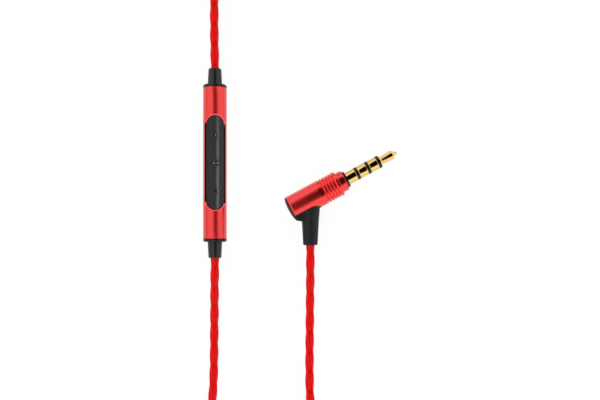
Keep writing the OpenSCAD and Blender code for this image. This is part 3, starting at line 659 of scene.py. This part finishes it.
def strip_half(name, key, rows):
    """Half a key, from its fixed outer end to the flat middle that carries the mark."""
    vertices = [(x, -z, y) for row in rows for x, y, z in row]
    mesh = tidy_mesh(name, vertices, lofted(len(rows), len(rows[0])))
    mesh.transform(rolled)
    half = piece(name, mesh, key_black, on_remote, body=None, stands_for=[key])
    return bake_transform(half)


# %% Six halves of the strip
stops = [-STRIP_RUN]
for k in range(-1, 2):
    stops += [k * KEY_PITCH, (k + 0.5) * KEY_PITCH]
stops[-1] = STRIP_RUN
quarter = np.linspace(0, math.pi / 2, 13)
for i in range(6):
    rows = [strip_row(y) for y in np.linspace(stops[i], stops[i + 1], 14)]
    if i == 0:
        rows = [strip_row(stops[0], a, -1) for a in quarter[::-1]] + rows[1:]
    if i == 5:
        rows += [strip_row(stops[-1], a, 1) for a in quarter[1:]]
    strip_half(f"key_strip_{i + 1}", list(KEYS)[i // 2], rows)
print("key strip in six halves")

# %% [markdown]
# Under the strip sit the parts that the finger never sees: a nub under each
# key, which meets the switch, and a tab at each end, which holds the strip
# under the tube's wall.

# %% Nubs and end tabs
NUB_R, NUB_END, NUB_TOP = 0.8, 0.65, 1.3
for key, k in KEYS.items():
    under = on_remote @ rolled @ Matrix.Translation((0, 0, k * KEY_PITCH * MM))
    under = under @ Matrix.Rotation(math.radians(90), 4, "X")
    turned(f"{key}_nub", [(0, NUB_END), (NUB_R, NUB_END, 0.12), (NUB_R, NUB_TOP, 0.05), (0, NUB_TOP)],
           key_black, under, body=key, stands_for=[key], around=40)


def soft_block(name, size, middle, material, place, break_by=0.12):
    """A block with rounded edges, with its middle at a point in millimetres."""
    work = bmesh.new()
    bmesh.ops.create_cube(work, size=1)
    for v in work.verts:
        v.co = Vector([(c * s + m) * MM for c, s, m in zip(v.co, size, middle)])
    bmesh.ops.bevel(work, geom=work.edges[:], offset=break_by * MM, segments=3, profile=0.5, affect="EDGES")
    mesh = bpy.data.meshes.new(name)
    work.to_mesh(mesh)
    work.free()
    mesh.shade_smooth()
    mesh.set_sharp_from_angle(angle=math.radians(50))
    mesh.transform(rolled)
    return piece(name, mesh, material, place)


TAB, TAB_DEPTH, UNDER_WALL = (3.2, 0.8, 2.4), 1.4, 0.6
tab_at = WINDOW_RUN + WINDOW_HALF + UNDER_WALL - TAB[2] / 2
for name, sign in (("upper", 1), ("lower", -1)):
    soft_block(f"{name}_strip_tab", TAB, (0, -TAB_DEPTH, sign * tab_at), key_black, on_remote)
print(f"{len(KEYS)} nubs and two tabs")

# %% [markdown]
# ## Marks on the keys
#
# Plus, play and pause, and minus are moulded proud of the strip. The mould is
# polished there, so the strokes are dark until they catch the lamp. Each one
# follows the crown and the dish under it, so its height is the skin's height
# plus a little, with a bevel all round.

# %% Raised marks
MARK_HEIGHT, MARK_BEVEL = 0.06, 0.045
SUNK = -0.15  # how deep a mark's foot lies under the skin


def stroke(left, right, low, high, low_right=None, high_right=None, stations=9):
    """Rows (x, low, high) of one stroke of a mark, which may taper to the right."""
    low_right = low if low_right is None else low_right
    high_right = high if high_right is None else high_right
    xs = [left, left + MARK_BEVEL, *np.linspace(left + MARK_BEVEL, right - MARK_BEVEL, stations)[1:-1],
          right - MARK_BEVEL, right]
    rows = []
    for x in xs:
        t = (x - left) / (right - left)
        rows.append((x, low + (low_right - low) * t, high + (high_right - high) * t))
    return rows


def mark(name, key, strokes):
    """A raised mark made of strokes, in millimetres from the key's middle."""
    vertices, faces = [], []
    for rows in strokes:
        first = len(vertices)
        for n, (x, low, high) in enumerate(rows):
            bevel = min(MARK_BEVEL, (high - low) * 0.35)
            at_end = n in (0, len(rows) - 1)
            section = [(low, SUNK), (low, 0.3), (low + bevel, 1), (high - bevel, 1), (high, 0.3), (high, SUNK)]
            for y, lift in section:
                lift = min(lift, 0.3) if at_end else lift
                z = strip_height(x, key_middle(key) + y) + (lift * MARK_HEIGHT if lift > 0 else lift)
                vertices.append((x, -z, key_middle(key) + y))
        faces += lofted(len(rows), 6, first)
    mesh = tidy_mesh(name, vertices, faces, sharp=60)
    mesh.transform(rolled)
    return piece(name, mesh, key_polished, on_remote, body=key)


THIN = 0.21  # half a stroke's width
mark("plus_mark", "key_up", [
    stroke(-1.35, 1.25, -THIN, THIN, stations=13), stroke(-THIN, THIN, -1.2, 1.2, stations=4),
])
mark("play_mark", "key_play", [
    stroke(-1.1, -0.05, -0.8, 0.8, -0.06, 0.06), stroke(0.22, 0.22 + 2 * THIN, -0.85, 0.85, stations=4),
    stroke(0.8, 0.8 + 2 * THIN, -0.85, 0.85, stations=4),
])
mark("minus_mark", "key_down", [stroke(-1.3, 1.2, -THIN, THIN, stations=13)])
print("marks on the keys")

# %% [markdown]
# ## Collars and boots of the remote
#
# A polished collar closes each end of the tube, and a rubber boot carries the
# bending of the cord away from it. Both are turned. The boot's bore is a
# hair wider than the cord, which shows as a dark ring round the strands.

# %% Remote ends
def remote_end(side):
    """Placement at one end of the tube, with z pointing out."""
    flip = Matrix.Identity(4) if side > 0 else Matrix.Rotation(math.pi, 4, "X")
    return on_remote @ flip @ Matrix.Translation(Vector((0, 0, TUBE_END * MM)))


COLLAR, SPIGOT, STEM, BORE = 0.9, 2.2, 1.55, CORD / 2 + 0.04
for name, side in (("upper", 1), ("lower", -1)):
    turned(f"{name}_collar", [
        (STEM + 0.02, -SPIGOT), (TUBE_BORE - 0.02, -SPIGOT), (TUBE_BORE - 0.02, 0), (TUBE_R, 0, 0.05),
        (TUBE_R, COLLAR - 0.28, 0.14), (TUBE_R - 0.28, COLLAR, 0.14), (STEM + 0.02, COLLAR),
    ], black_gloss, remote_end(side), stands_for=[f"{name}_end_cap"])
    turned(f"{name}_sleeve_boot", [
        (BORE, -SPIGOT - 0.6), (2.1, -SPIGOT - 0.6, 0.1), (2.1, -SPIGOT, 0.1),
        (STEM, -SPIGOT), (STEM, COLLAR), (1.975, COLLAR, 0.06), (1.85, COLLAR + 2.2),
        (1.75, COLLAR + 4.35, 0.34), (BORE, COLLAR + 4.35, 0.08),
    ], black_soft, remote_end(side), stands_for=[f"{name}_boot"])
print("collars and boots")

# %% [markdown]
# ## The plug's shell
#
# The shell is turned from bar: a smooth grip, five grooves, a shoulder and a
# nose. A slot in its side lets the cord's boot out at an angle. It is built
# like the remote's tube, with the slot running out through the back.

# %% Plug shell
PLUG_AT, PLUG_ANGLE = (-3.07, -2.75, 3.5), 28.2
on_plug = stand(*PLUG_AT, (0, 90, PLUG_ANGLE))
SHELL_R, SHELL_BORE, SHELL_BACK, SLOT_HALF, SLOT_END, SHELL_BROKEN = 3.5, 3.05, 0.8, 2.6, 8.4, 0.1
slot_round_at = SLOT_END - SLOT_HALF


def edge_layers(broken, steps=4):
    """(distance into the opening, depth below the skin) of the loops of a broken edge."""
    angles = np.linspace(0, math.pi / 2, steps)
    return [(broken * math.sin(a), broken * (1 - math.cos(a))) for a in angles]


def slot_row(z, angle=0.0, drop_all=0.0):
    """A row across the slot; drop_all rounds the shell's back edge."""
    row = []
    for into, drop in edge_layers(SHELL_BROKEN):
        half = SLOT_HALF + SHELL_BROKEN - into
        row.append((z + half * math.sin(angle), SHELL_R - max(drop, drop_all), half * math.cos(angle)))
    z_in, _, half_in = row[-1]
    return row + [(z_in, SHELL_BORE, half_in)]


rows = [slot_row(SHELL_BACK + dz, 0, dr) for dz, dr in ((0, 0.08), (0.03, 0.03), (0.09, 0))]
rows += [slot_row(z) for z in np.linspace(1.2, slot_round_at, 6)]
rows += [slot_row(slot_round_at, a) for a in np.linspace(0, math.pi / 2, 15)[1:]]
outside = [(8.55, SHELL_R), (8.7, SHELL_R), (9.3, SHELL_R)]
GROOVES, FIRST_GROOVE, GROOVE_STEP, GROOVE_DEEP = 5, 10.77, 0.87, 0.28
FLANK = [(0.23, 0), (0.19, 0.012), (0.16, 0.05), (0.07, 0.25)]  # (from a groove's middle, depth)
for i in range(GROOVES):
    z = FIRST_GROOVE + GROOVE_STEP * i
    for away, deep in FLANK + [(0, GROOVE_DEEP)] + [(-a, d) for a, d in FLANK[::-1]]:
        outside.append((z - away, SHELL_R - deep))
outside += [(15.2, 3.5), (15.32, 3.48), (15.38, 3.42), (15.4, 3.3), (15.4, 3.0), (15.41, 2.9), (15.48, 2.85),
            (16.98, 2.85), (17.09, 2.82), (17.14, 2.76), (17.15, 2.66), (17.15, 2.34)]
inside = [(14.5, SHELL_BORE), (14.6, SHELL_BORE), (14.6, 2.34), (15.4, 2.34), (17.13, 2.34)]
inside = [inside[0]] * (len(outside) - len(inside)) + inside
rows += [[(z, r, 0)] * 4 + [(z_in, r_in, 0)] for (z, r), (z_in, r_in) in zip(outside, inside)]
plug_grip = opened_tube("plug_grip", rows, red_polished, on_plug, ["plug_shell"])
print(f"plug grip: {len(plug_grip.data.polygons)} faces")

# %% [markdown]
# ## The plug's boot
#
# The back cap, the filler in the slot and the tapered boot are one rubber
# moulding. Its parts are drawn as separate closed shapes, fused by a fine
# voxel remesh and smoothed, which leaves the small fillets that rubber has
# where its forms meet.

# %% Fuse rubber shapes
def fused(name, shapes, voxel, rounds, material, place, **more):
    """Closed shapes, as (mesh, placement in the piece's space), made one and smoothed."""
    work = bmesh.new()
    for mesh, where in shapes:
        part = mesh.copy()
        part.transform(where)
        work.from_mesh(part)
        bpy.data.meshes.remove(part)
    rough = bpy.data.meshes.new(name + "_rough")
    work.to_mesh(rough)
    work.free()
    holder = bpy.data.objects.new(name + "_rough", rough)
    bpy.context.scene.collection.objects.link(holder)
    remesh = holder.modifiers.new("fuse", "REMESH")
    remesh.mode, remesh.voxel_size, remesh.adaptivity = "VOXEL", voxel * MM, 0
    smooth = holder.modifiers.new("smooth", "SMOOTH")
    smooth.factor, smooth.iterations = 0.5, rounds
    mesh = bpy.data.meshes.new_from_object(holder.evaluated_get(bpy.context.evaluated_depsgraph_get()))
    bpy.data.objects.remove(holder)
    mesh.name = name
    mesh.materials.clear()
    mesh.shade_smooth()
    return piece(name, mesh, material, place, **more)


def turned_mesh(name, corners):
    """Only the mesh of a turned shape, for fusing."""
    maker = turned(name, corners, black_soft, Matrix.Identity(4))
    mesh = maker.data
    bpy.data.objects.remove(maker)
    return mesh


# %% Plug boot
cap = turned_mesh("cap_shape", [
    (0, -0.02), (1.6, 0.05, 0.4), (2.9, 0.28, 0.5), (3.46, 0.62, 0.3), (3.46, 0.86), (3.03, 0.86),
    (3.03, 8.6), (0, 8.6),
])
FILLER_HALF, FILLER_R, FILLER_ROUND_AT = 2.55, 3.47, 5.75
stations = [(z, FILLER_HALF) for z in (0.5, 1.5, 3, 4.5)]
for a in np.linspace(0, 1.5, 12):
    stations.append((FILLER_ROUND_AT + FILLER_HALF * math.sin(a), FILLER_HALF * math.cos(a)))
filler_rows = [
    [(x, -math.sqrt(FILLER_R**2 - x * x), z) for x in np.linspace(half, -half, 17)]
    + [(-half, 0, z), (half, 0, z)]
    for z, half in stations
]
filler = tidy_mesh("filler_shape", [p for row in filler_rows for p in row],
                   lofted(len(filler_rows), len(filler_rows[0])))
boot = turned_mesh("boot_shape", [
    (0, 0), (2.55, 0), (2.55, 3.3, 0.5), (2.38, 4.9, 0.8), (1.96, 12.6, 0.32), (BORE, 12.6, 0.06),
    (BORE, 11), (0, 11),
])
web = tidy_mesh("web_shape", [
    (x, y, z) for x in (-1.5, 1.5) for z, y in ((0.45, -3.0), (0.45, -3.4), (1.9, -4.55), (3.4, -3.0))
], [(0, 1, 2, 3), (4, 5, 6, 7), (0, 1, 5, 4), (1, 2, 6, 5), (2, 3, 7, 6), (3, 0, 4, 7)])
BOOT_X = 2.8  # the cord's last stretch runs along this line, up to the plug's axis
boot_at = PLUG_AT[1] + (BOOT_X - PLUG_AT[0]) * math.tan(math.radians(PLUG_ANGLE))
boot_place = on_plug.inverted() @ stand(BOOT_X, boot_at, PLUG_AT[2], (90, 0, 0))
plug_boot = fused("plug_boot_moulding", [
    (cap, Matrix.Identity(4)), (filler, Matrix.Identity(4)), (boot, boot_place), (web, Matrix.Identity(4)),
], voxel=0.11, rounds=5, material=black_matt, place=on_plug, stands_for=["plug_boot"])
print(f"plug boot: {len(plug_boot.data.polygons)} faces")

# %% [markdown]
# ## The jack
#
# Four gold contacts are nested tubes with black insulator rings between them.
# Each is turned by itself, down to its tail inside the plug, and its edges
# are broken, the gold ones most, so that a dark line parts gold from black.

# %% Contacts and insulators
JACK_R = 1.75
turned("jack_collar", [
    (2.2, 8.6), (3.03, 8.6), (3.03, 14.58), (2.3, 14.58), (2.3, 17.85, 0.16), (1.62, 17.85), (1.62, 13.52),
    (2.17, 13.52), (2.17, 12.48), (1.62, 12.48), (1.62, 11.6), (2.2, 11.6),
], black_gloss, on_plug, stands_for=["plug_core"])
turned("sleeve_contact", [
    (1.34, 11.6), (1.54, 11.6), (1.54, 12.5), (2.15, 12.5), (2.15, 13.5), (1.54, 13.5), (1.54, 17.85),
    (JACK_R, 17.85), (JACK_R, 20.55, 0.15), (1.34, 20.55),
], gold, on_plug, stands_for=["jack_sleeve"])
LAYERS = [  # name, solid, inner radius, tube radius, band from, band to, tail, finish
    ("rear_insulator_ring", "rear_insulator", 1.18, 1.32, 20.55, 21.31, 11.2, black_gloss),
    ("rear_ring_contact", "jack_rear_ring", 0.96, 1.16, 21.31, 23.81, 10.8, gold),
    ("middle_insulator_ring", "middle_insulator", 0.8, 0.94, 23.81, 24.57, 10.4, black_gloss),
    ("front_ring_contact", "jack_front_ring", 0.58, 0.78, 24.57, 27.07, 10.0, gold),
    ("front_insulator_ring", "front_insulator", 0.42, 0.56, 27.07, 27.83, 9.6, black_gloss),
]
for name, solid, inner, tube, start, end, tail, material in LAYERS:
    round_by = 0.15 if material is gold else 0.04
    turned(name, [
        (inner, tail), (tube, tail), (tube, start), (JACK_R, start, round_by), (JACK_R, end, round_by),
        (inner, end),
    ], material, on_plug, stands_for=[solid])
turned("tip_contact", [
    (0, 9.2), (0.4, 9.2), (0.4, 27.83), (1.5, 27.83, 0.05), (1.45, 28.15, 0.1), (1.04, 28.4, 0.12),
    (1.06, 28.8, 0.2), (1.27, 31.75, 0.22), (0.75, 32.12, 0.15), (0.52, 32.35, 0.1), (0.47, 32.8, 0.22),
    (0.2, 33.03, 0.1), (0, 33.03),
], gold, on_plug, stands_for=["jack_tip"])
print("jack: 4 contacts and 3 insulators")

# %% [markdown]
# ## Splitter and ear pieces
#
# These lie out of view. Shells, rings and boots have the remote's finishes, the
# nozzles are plain plastic and the tips silicone. They are turned too; only
# the splitter's lead cap and the cinch keep the solids' shapes, because two
# leads pass side by side through them.

# %% Splitter
on_splitter = stand(-23.15, 64, 3, (-90, 0, 0))
turned("splitter_sleeve", [(2.6, -3.5), (3, -3.5, 0.08), (3, 3.5, 0.08), (2.6, 3.5)],
       red_anodised, on_splitter, stands_for=["splitter_shell"])
turned("splitter_boot", [
    (BORE, -1.3), (2.58, -1.3), (2.58, -3.5), (3, -3.5, 0.05), (3, -4.12, 0.14), (2.72, -4.4, 0.14),
    (1.975, -4.4, 0.05), (1.75, -6.57, 0.3), (BORE, -6.57, 0.06),
], black_soft, on_splitter, stands_for=["splitter_cord_cap"])
print("splitter sleeve and boot")

# %% Ear pieces
for name, side, back in (("left", -1, 1.4), ("right", 1, 3.6)):
    place = stand(back, 66, 6, (0, side * 90, 0))
    turned(f"{name}_ear_shell", [
        (0, 0), (4.5, 0, 0.8), (5.25, 0.3, 0.4), (5.6, 0.95, 0.5), (5.6, 6.5, 0.1), (5.1, 6.5),
        (5.1, 1.2), (0, 1.2),
    ], red_anodised, place, stands_for=[f"{name}_shell"])
    turned(f"{name}_ear_ring", [
        (4.97, 6.5), (5.55, 6.5, 0.1), (5.7, 6.65, 0.1), (5.7, 6.95, 0.1), (5.55, 7.1, 0.1), (4.97, 7.1),
    ], black_gloss, place, stands_for=[f"{name}_ring"])
    turned(f"{name}_nozzle", [
        (4.97, 7.1), (5.5, 7.1, 0.1), (5.25, 7.8, 0.6), (4.1, 9.0, 0.9), (2.7, 9.85, 0.6), (2.1, 10.1, 0.3),
        (2.1, 12.9, 0.2), (2.3, 13.1, 0.1), (2.3, 13.45, 0.08), (2.15, 13.6, 0.06), (1.7, 13.6, 0.06),
        (1.7, 9.5, 0.2), (4.35, 8.0), (4.35, 7.4), (4.97, 7.4),
    ], inner_plastic, place, stands_for=[f"{name}_front"])
    turned(f"{name}_ear_tip", [
        (2.35, 10.4), (2.9, 10.4, 0.2), (2.95, 14.2, 0.3), (3.8, 14.6, 0.5), (4.9, 12.8, 0.6),
        (5.55, 10.4, 0.15), (6.0, 10.4, 0.2), (5.9, 11.6, 0.5), (5.3, 13.4, 0.9), (4.1, 15.7, 1.0),
        (3.0, 16.6, 0.6), (2.3, 16.8, 0.4), (1.7, 16.8, 0.25), (1.7, 13.7, 0.1), (2.35, 13.7),
    ], silicone, place, body=f"{name}_tip", stands_for=[f"{name}_tip"])
    down = place @ Matrix.Translation((0, 0, 3.2 * MM)) @ Matrix.Rotation(math.radians(-90), 4, "X")
    turned(f"{name}_lead_boot", [
        (1.04, 3.9), (1.73, 3.9), (1.73, 5.6, 0.3), (1.4, 12.0, 0.32), (1.04, 12.0, 0.06),
    ], black_soft, down, stands_for=[f"{name}_boot"])
print("two ear pieces")

# %% [markdown]
# The mesh in each nozzle is woven steel wire. Two sets of waves cross at right
# angles in its finish: they lift the wires, and the holes between them are
# painted dark, as painted shade where the mesh is open.

# %% Woven mesh finish
woven = finish("steel", (0.32, 0.32, 0.34), metallic=1, kind=".woven")
tree = woven.node_tree
shader = tree.nodes["Principled BSDF"]
where = add_node(tree, "TexCoord").outputs["Object"]
WIRE_STEP = 0.25 * MM
wires = [add_node(tree, "TexWave", {"Vector": where, "Scale": 1 / WIRE_STEP / 6}) for _ in range(2)]
wires[0].bands_direction, wires[1].bands_direction = "Y", "Z"
weave_and_hole_shade = add_node(tree, "Math", {0: wires[0].outputs["Fac"], 1: wires[1].outputs["Fac"]}, "MAXIMUM").outputs[0]
bump = add_node(tree, "Bump", {"Height": weave_and_hole_shade, "Distance": 0.05 * MM})
tree.links.new(bump.outputs["Normal"], shader.inputs["Normal"])
# The dark colour between the wires is painted shade for the open holes; the light colour is the wire.
tree.links.new(mixed(tree, weave_and_hole_shade, (0.01, 0.01, 0.01, 1), (0.5, 0.5, 0.52, 1)), shader.inputs["Base Color"])
shader.inputs["Roughness"].default_value = 0.3
print("woven mesh finish ready")

# %% [markdown]
# ## Solids that keep their shapes
#
# The parts inside the remote, the plug and the ear pieces are shown as the
# construction model has them, each in its own finish. The lead cap and the
# cinch also get their edges broken by a bevel modifier, which leaves the
# solid itself alone.

# %% Finishes on the kept solids
KEPT = {
    inner_plastic: ["remote_chassis", "control_chip"],
    board_green: ["circuit_board"],
    steel: ["key_switches", "upper_ferrule", "lower_ferrule", "left_driver", "right_driver"],
    microphone_can: ["microphone"],
    gasket_rubber: ["microphone_gasket"],
    film: ["left_diaphragm", "right_diaphragm"],
    woven: ["left_mesh", "right_mesh"],
    black_gloss: ["splitter_lead_cap"],
    black_soft: ["cinch"],
}
for material, names in KEPT.items():
    for name in names:
        solid = solids[name]
        solid.data.materials.clear()
        solid.data.materials.append(material)
for name in ("splitter_lead_cap", "cinch"):
    bevel = solids[name].modifiers.new("broken edges", "BEVEL")
    bevel.width, bevel.segments, bevel.limit_method = 0.08 * MM, 2, "ANGLE"
    bevel.angle_limit = math.radians(40)
print(f"{sum(map(len, KEPT.values()))} solids kept")

# %% [markdown]
# ## Cords as cords
#
# The cords are drawn above as meshes only; their length, thickness and ends
# are not declared. The trunk carries the plug; the other three go back
# into the earphones.

# %% [markdown]
# ## Table and light
#
# The table is white. To the camera it glows a little short of white, and its
# own shading adds the rest, so a soft shadow still gathers under the tubes.
# Polished metal sees it too, dimmer, as a table that lies in the shade of the
# things on it. The light is a white room with one dark patch overhead, a long
# oval that lies a little askew, and a left wall in slight shade. Metal mirrors
# the patch as the dark band along each tube's back, which is what makes it
# read as metal. A small soft lamp beside the patch lights the key strip and
# its marks alone, for the highlight along them. It is strong: a grey card that
# lies on the table renders at 0.83 of its own colour in the room's light, and
# at 1.30 where the lamp lights it too.

# %% The table
def plane(name, half, z, material):
    mesh = bpy.data.meshes.new(name)
    corners = [(x * half, y * half, z) for x, y in ((-1, -1), (1, -1), (1, 1), (-1, 1))]
    mesh.from_pydata(corners, [], [(0, 1, 2, 3)])
    mesh.materials.append(material)
    thing = bpy.data.objects.new(name, mesh)
    bpy.context.scene.collection.objects.link(thing)
    return thing


table_white = bpy.data.materials.new("table_white")
table_white.use_nodes = True
tree = table_white.node_tree
tree.nodes.remove(tree.nodes["Principled BSDF"])
rays = add_node(tree, "LightPath").outputs
mirrored = add_node(tree, "Math", {0: rays["Is Glossy Ray"], 1: rays["Is Transmission Ray"]}, "MAXIMUM")
shaded = add_node(tree, "BsdfDiffuse", {"Color": (0.12, 0.12, 0.12, 1)})
bounce = add_node(tree, "BsdfDiffuse", {"Color": (0.8, 0.8, 0.8, 1)})


def glowing(strength):
    """The shaded table with a glow of its own."""
    glow = add_node(tree, "Emission", {"Strength": strength})
    return add_node(tree, "AddShader", {0: glow.outputs[0], 1: shaded.outputs[0]}).outputs[0]


in_metal = add_node(tree, "MixShader", {0: mirrored.outputs[0], 1: bounce.outputs[0], 2: glowing(0.8)})
seen = add_node(tree, "MixShader", {0: rays["Is Camera Ray"], 1: in_metal.outputs[0], 2: glowing(0.92)})
tree.links.new(seen.outputs[0], tree.nodes["Material Output"].inputs["Surface"])
TABLE_HALF = 1.5
plane("table", TABLE_HALF, -0.00001, table_white)
print(f"table {2 * TABLE_HALF:.0f} m wide")

# %% The room
room = bpy.data.worlds.new("room")
bpy.context.scene.world = room
room.use_nodes = True
tree = room.node_tree
direction = add_node(tree, "TexCoord").outputs["Generated"]


def ramp(value, low, high):
    """A smooth ramp; low and high are (value, strength)."""
    ends = dict(zip(("From Min", "To Min", "From Max", "To Max"), (*low, *high)))
    node = add_node(tree, "MapRange", {"Value": value, **ends})
    node.interpolation_type = "SMOOTHSTEP"
    return node.outputs["Result"]


PATCH_AT, PATCH_TURN, PATCH_HALF = (0.17, 0.25), 24.5, (0.345, 1.0)  # on a ceiling one unit up
split = add_node(tree, "SeparateXYZ", {0: direction})
height = add_node(tree, "Math", {0: split.outputs["Z"], 1: 0.05}, "MAXIMUM")
on_ceiling = add_node(tree, "VectorMath", {0: direction, 1: height.outputs[0]}, "DIVIDE")
from_patch = add_node(tree, "Mapping", {
    "Vector": on_ceiling.outputs[0], "Location": (*PATCH_AT, 1),
    "Rotation": (0, 0, math.radians(PATCH_TURN)), "Scale": (*PATCH_HALF, 1),
})
from_patch.vector_type = "TEXTURE"
away = add_node(tree, "VectorMath", {0: from_patch.outputs["Vector"]}, "LENGTH")
patch = ramp(away.outputs["Value"], (0.74, 0.003), (1.26, 1.06))
left_wall = ramp(split.outputs["X"], (-1, 0.62), (-0.82, 1))
room_light = add_node(tree, "Math", {0: patch, 1: left_wall}, "MULTIPLY")
rays = add_node(tree, "LightPath").outputs
pick = add_node(tree, "Mix", {"Factor": rays["Is Camera Ray"], "A": room_light.outputs[0], "B": 1.0})
background = tree.nodes["Background"]
tree.links.new(pick.outputs["Result"], background.inputs["Strength"])
background.inputs["Color"].default_value = (1, 1, 1, 1)
bpy.context.scene.view_settings.view_transform = "Standard"
print("room ready")

# %% The lamp beside the patch
lamp = bpy.data.lights.new("soft lamp", "AREA")
lamp.shape = "RECTANGLE"
lamp.size, lamp.size_y = 0.08, 0.16
LAMP_BRIGHTNESS = 19  # as the keys see it, where the room's white is about 1
lamp.energy = LAMP_BRIGHTNESS * math.pi * lamp.size * lamp.size_y
lamp_holder = bpy.data.objects.new("soft lamp", lamp)
lamp_holder.location = spot(180, 35, 303)
lamp_holder.rotation_euler = (spot(-23, 10, 3) - lamp_holder.location).to_track_quat("-Z", "Y").to_euler()
bpy.context.scene.collection.objects.link(lamp_holder)
lit = bpy.data.collections.new("key strip")
for thing in bpy.context.scene.objects:
    if "key_strip" in thing.name or "_mark" in thing.name:
        lit.objects.link(thing)
lamp_holder.light_linking.receiver_collection = lit
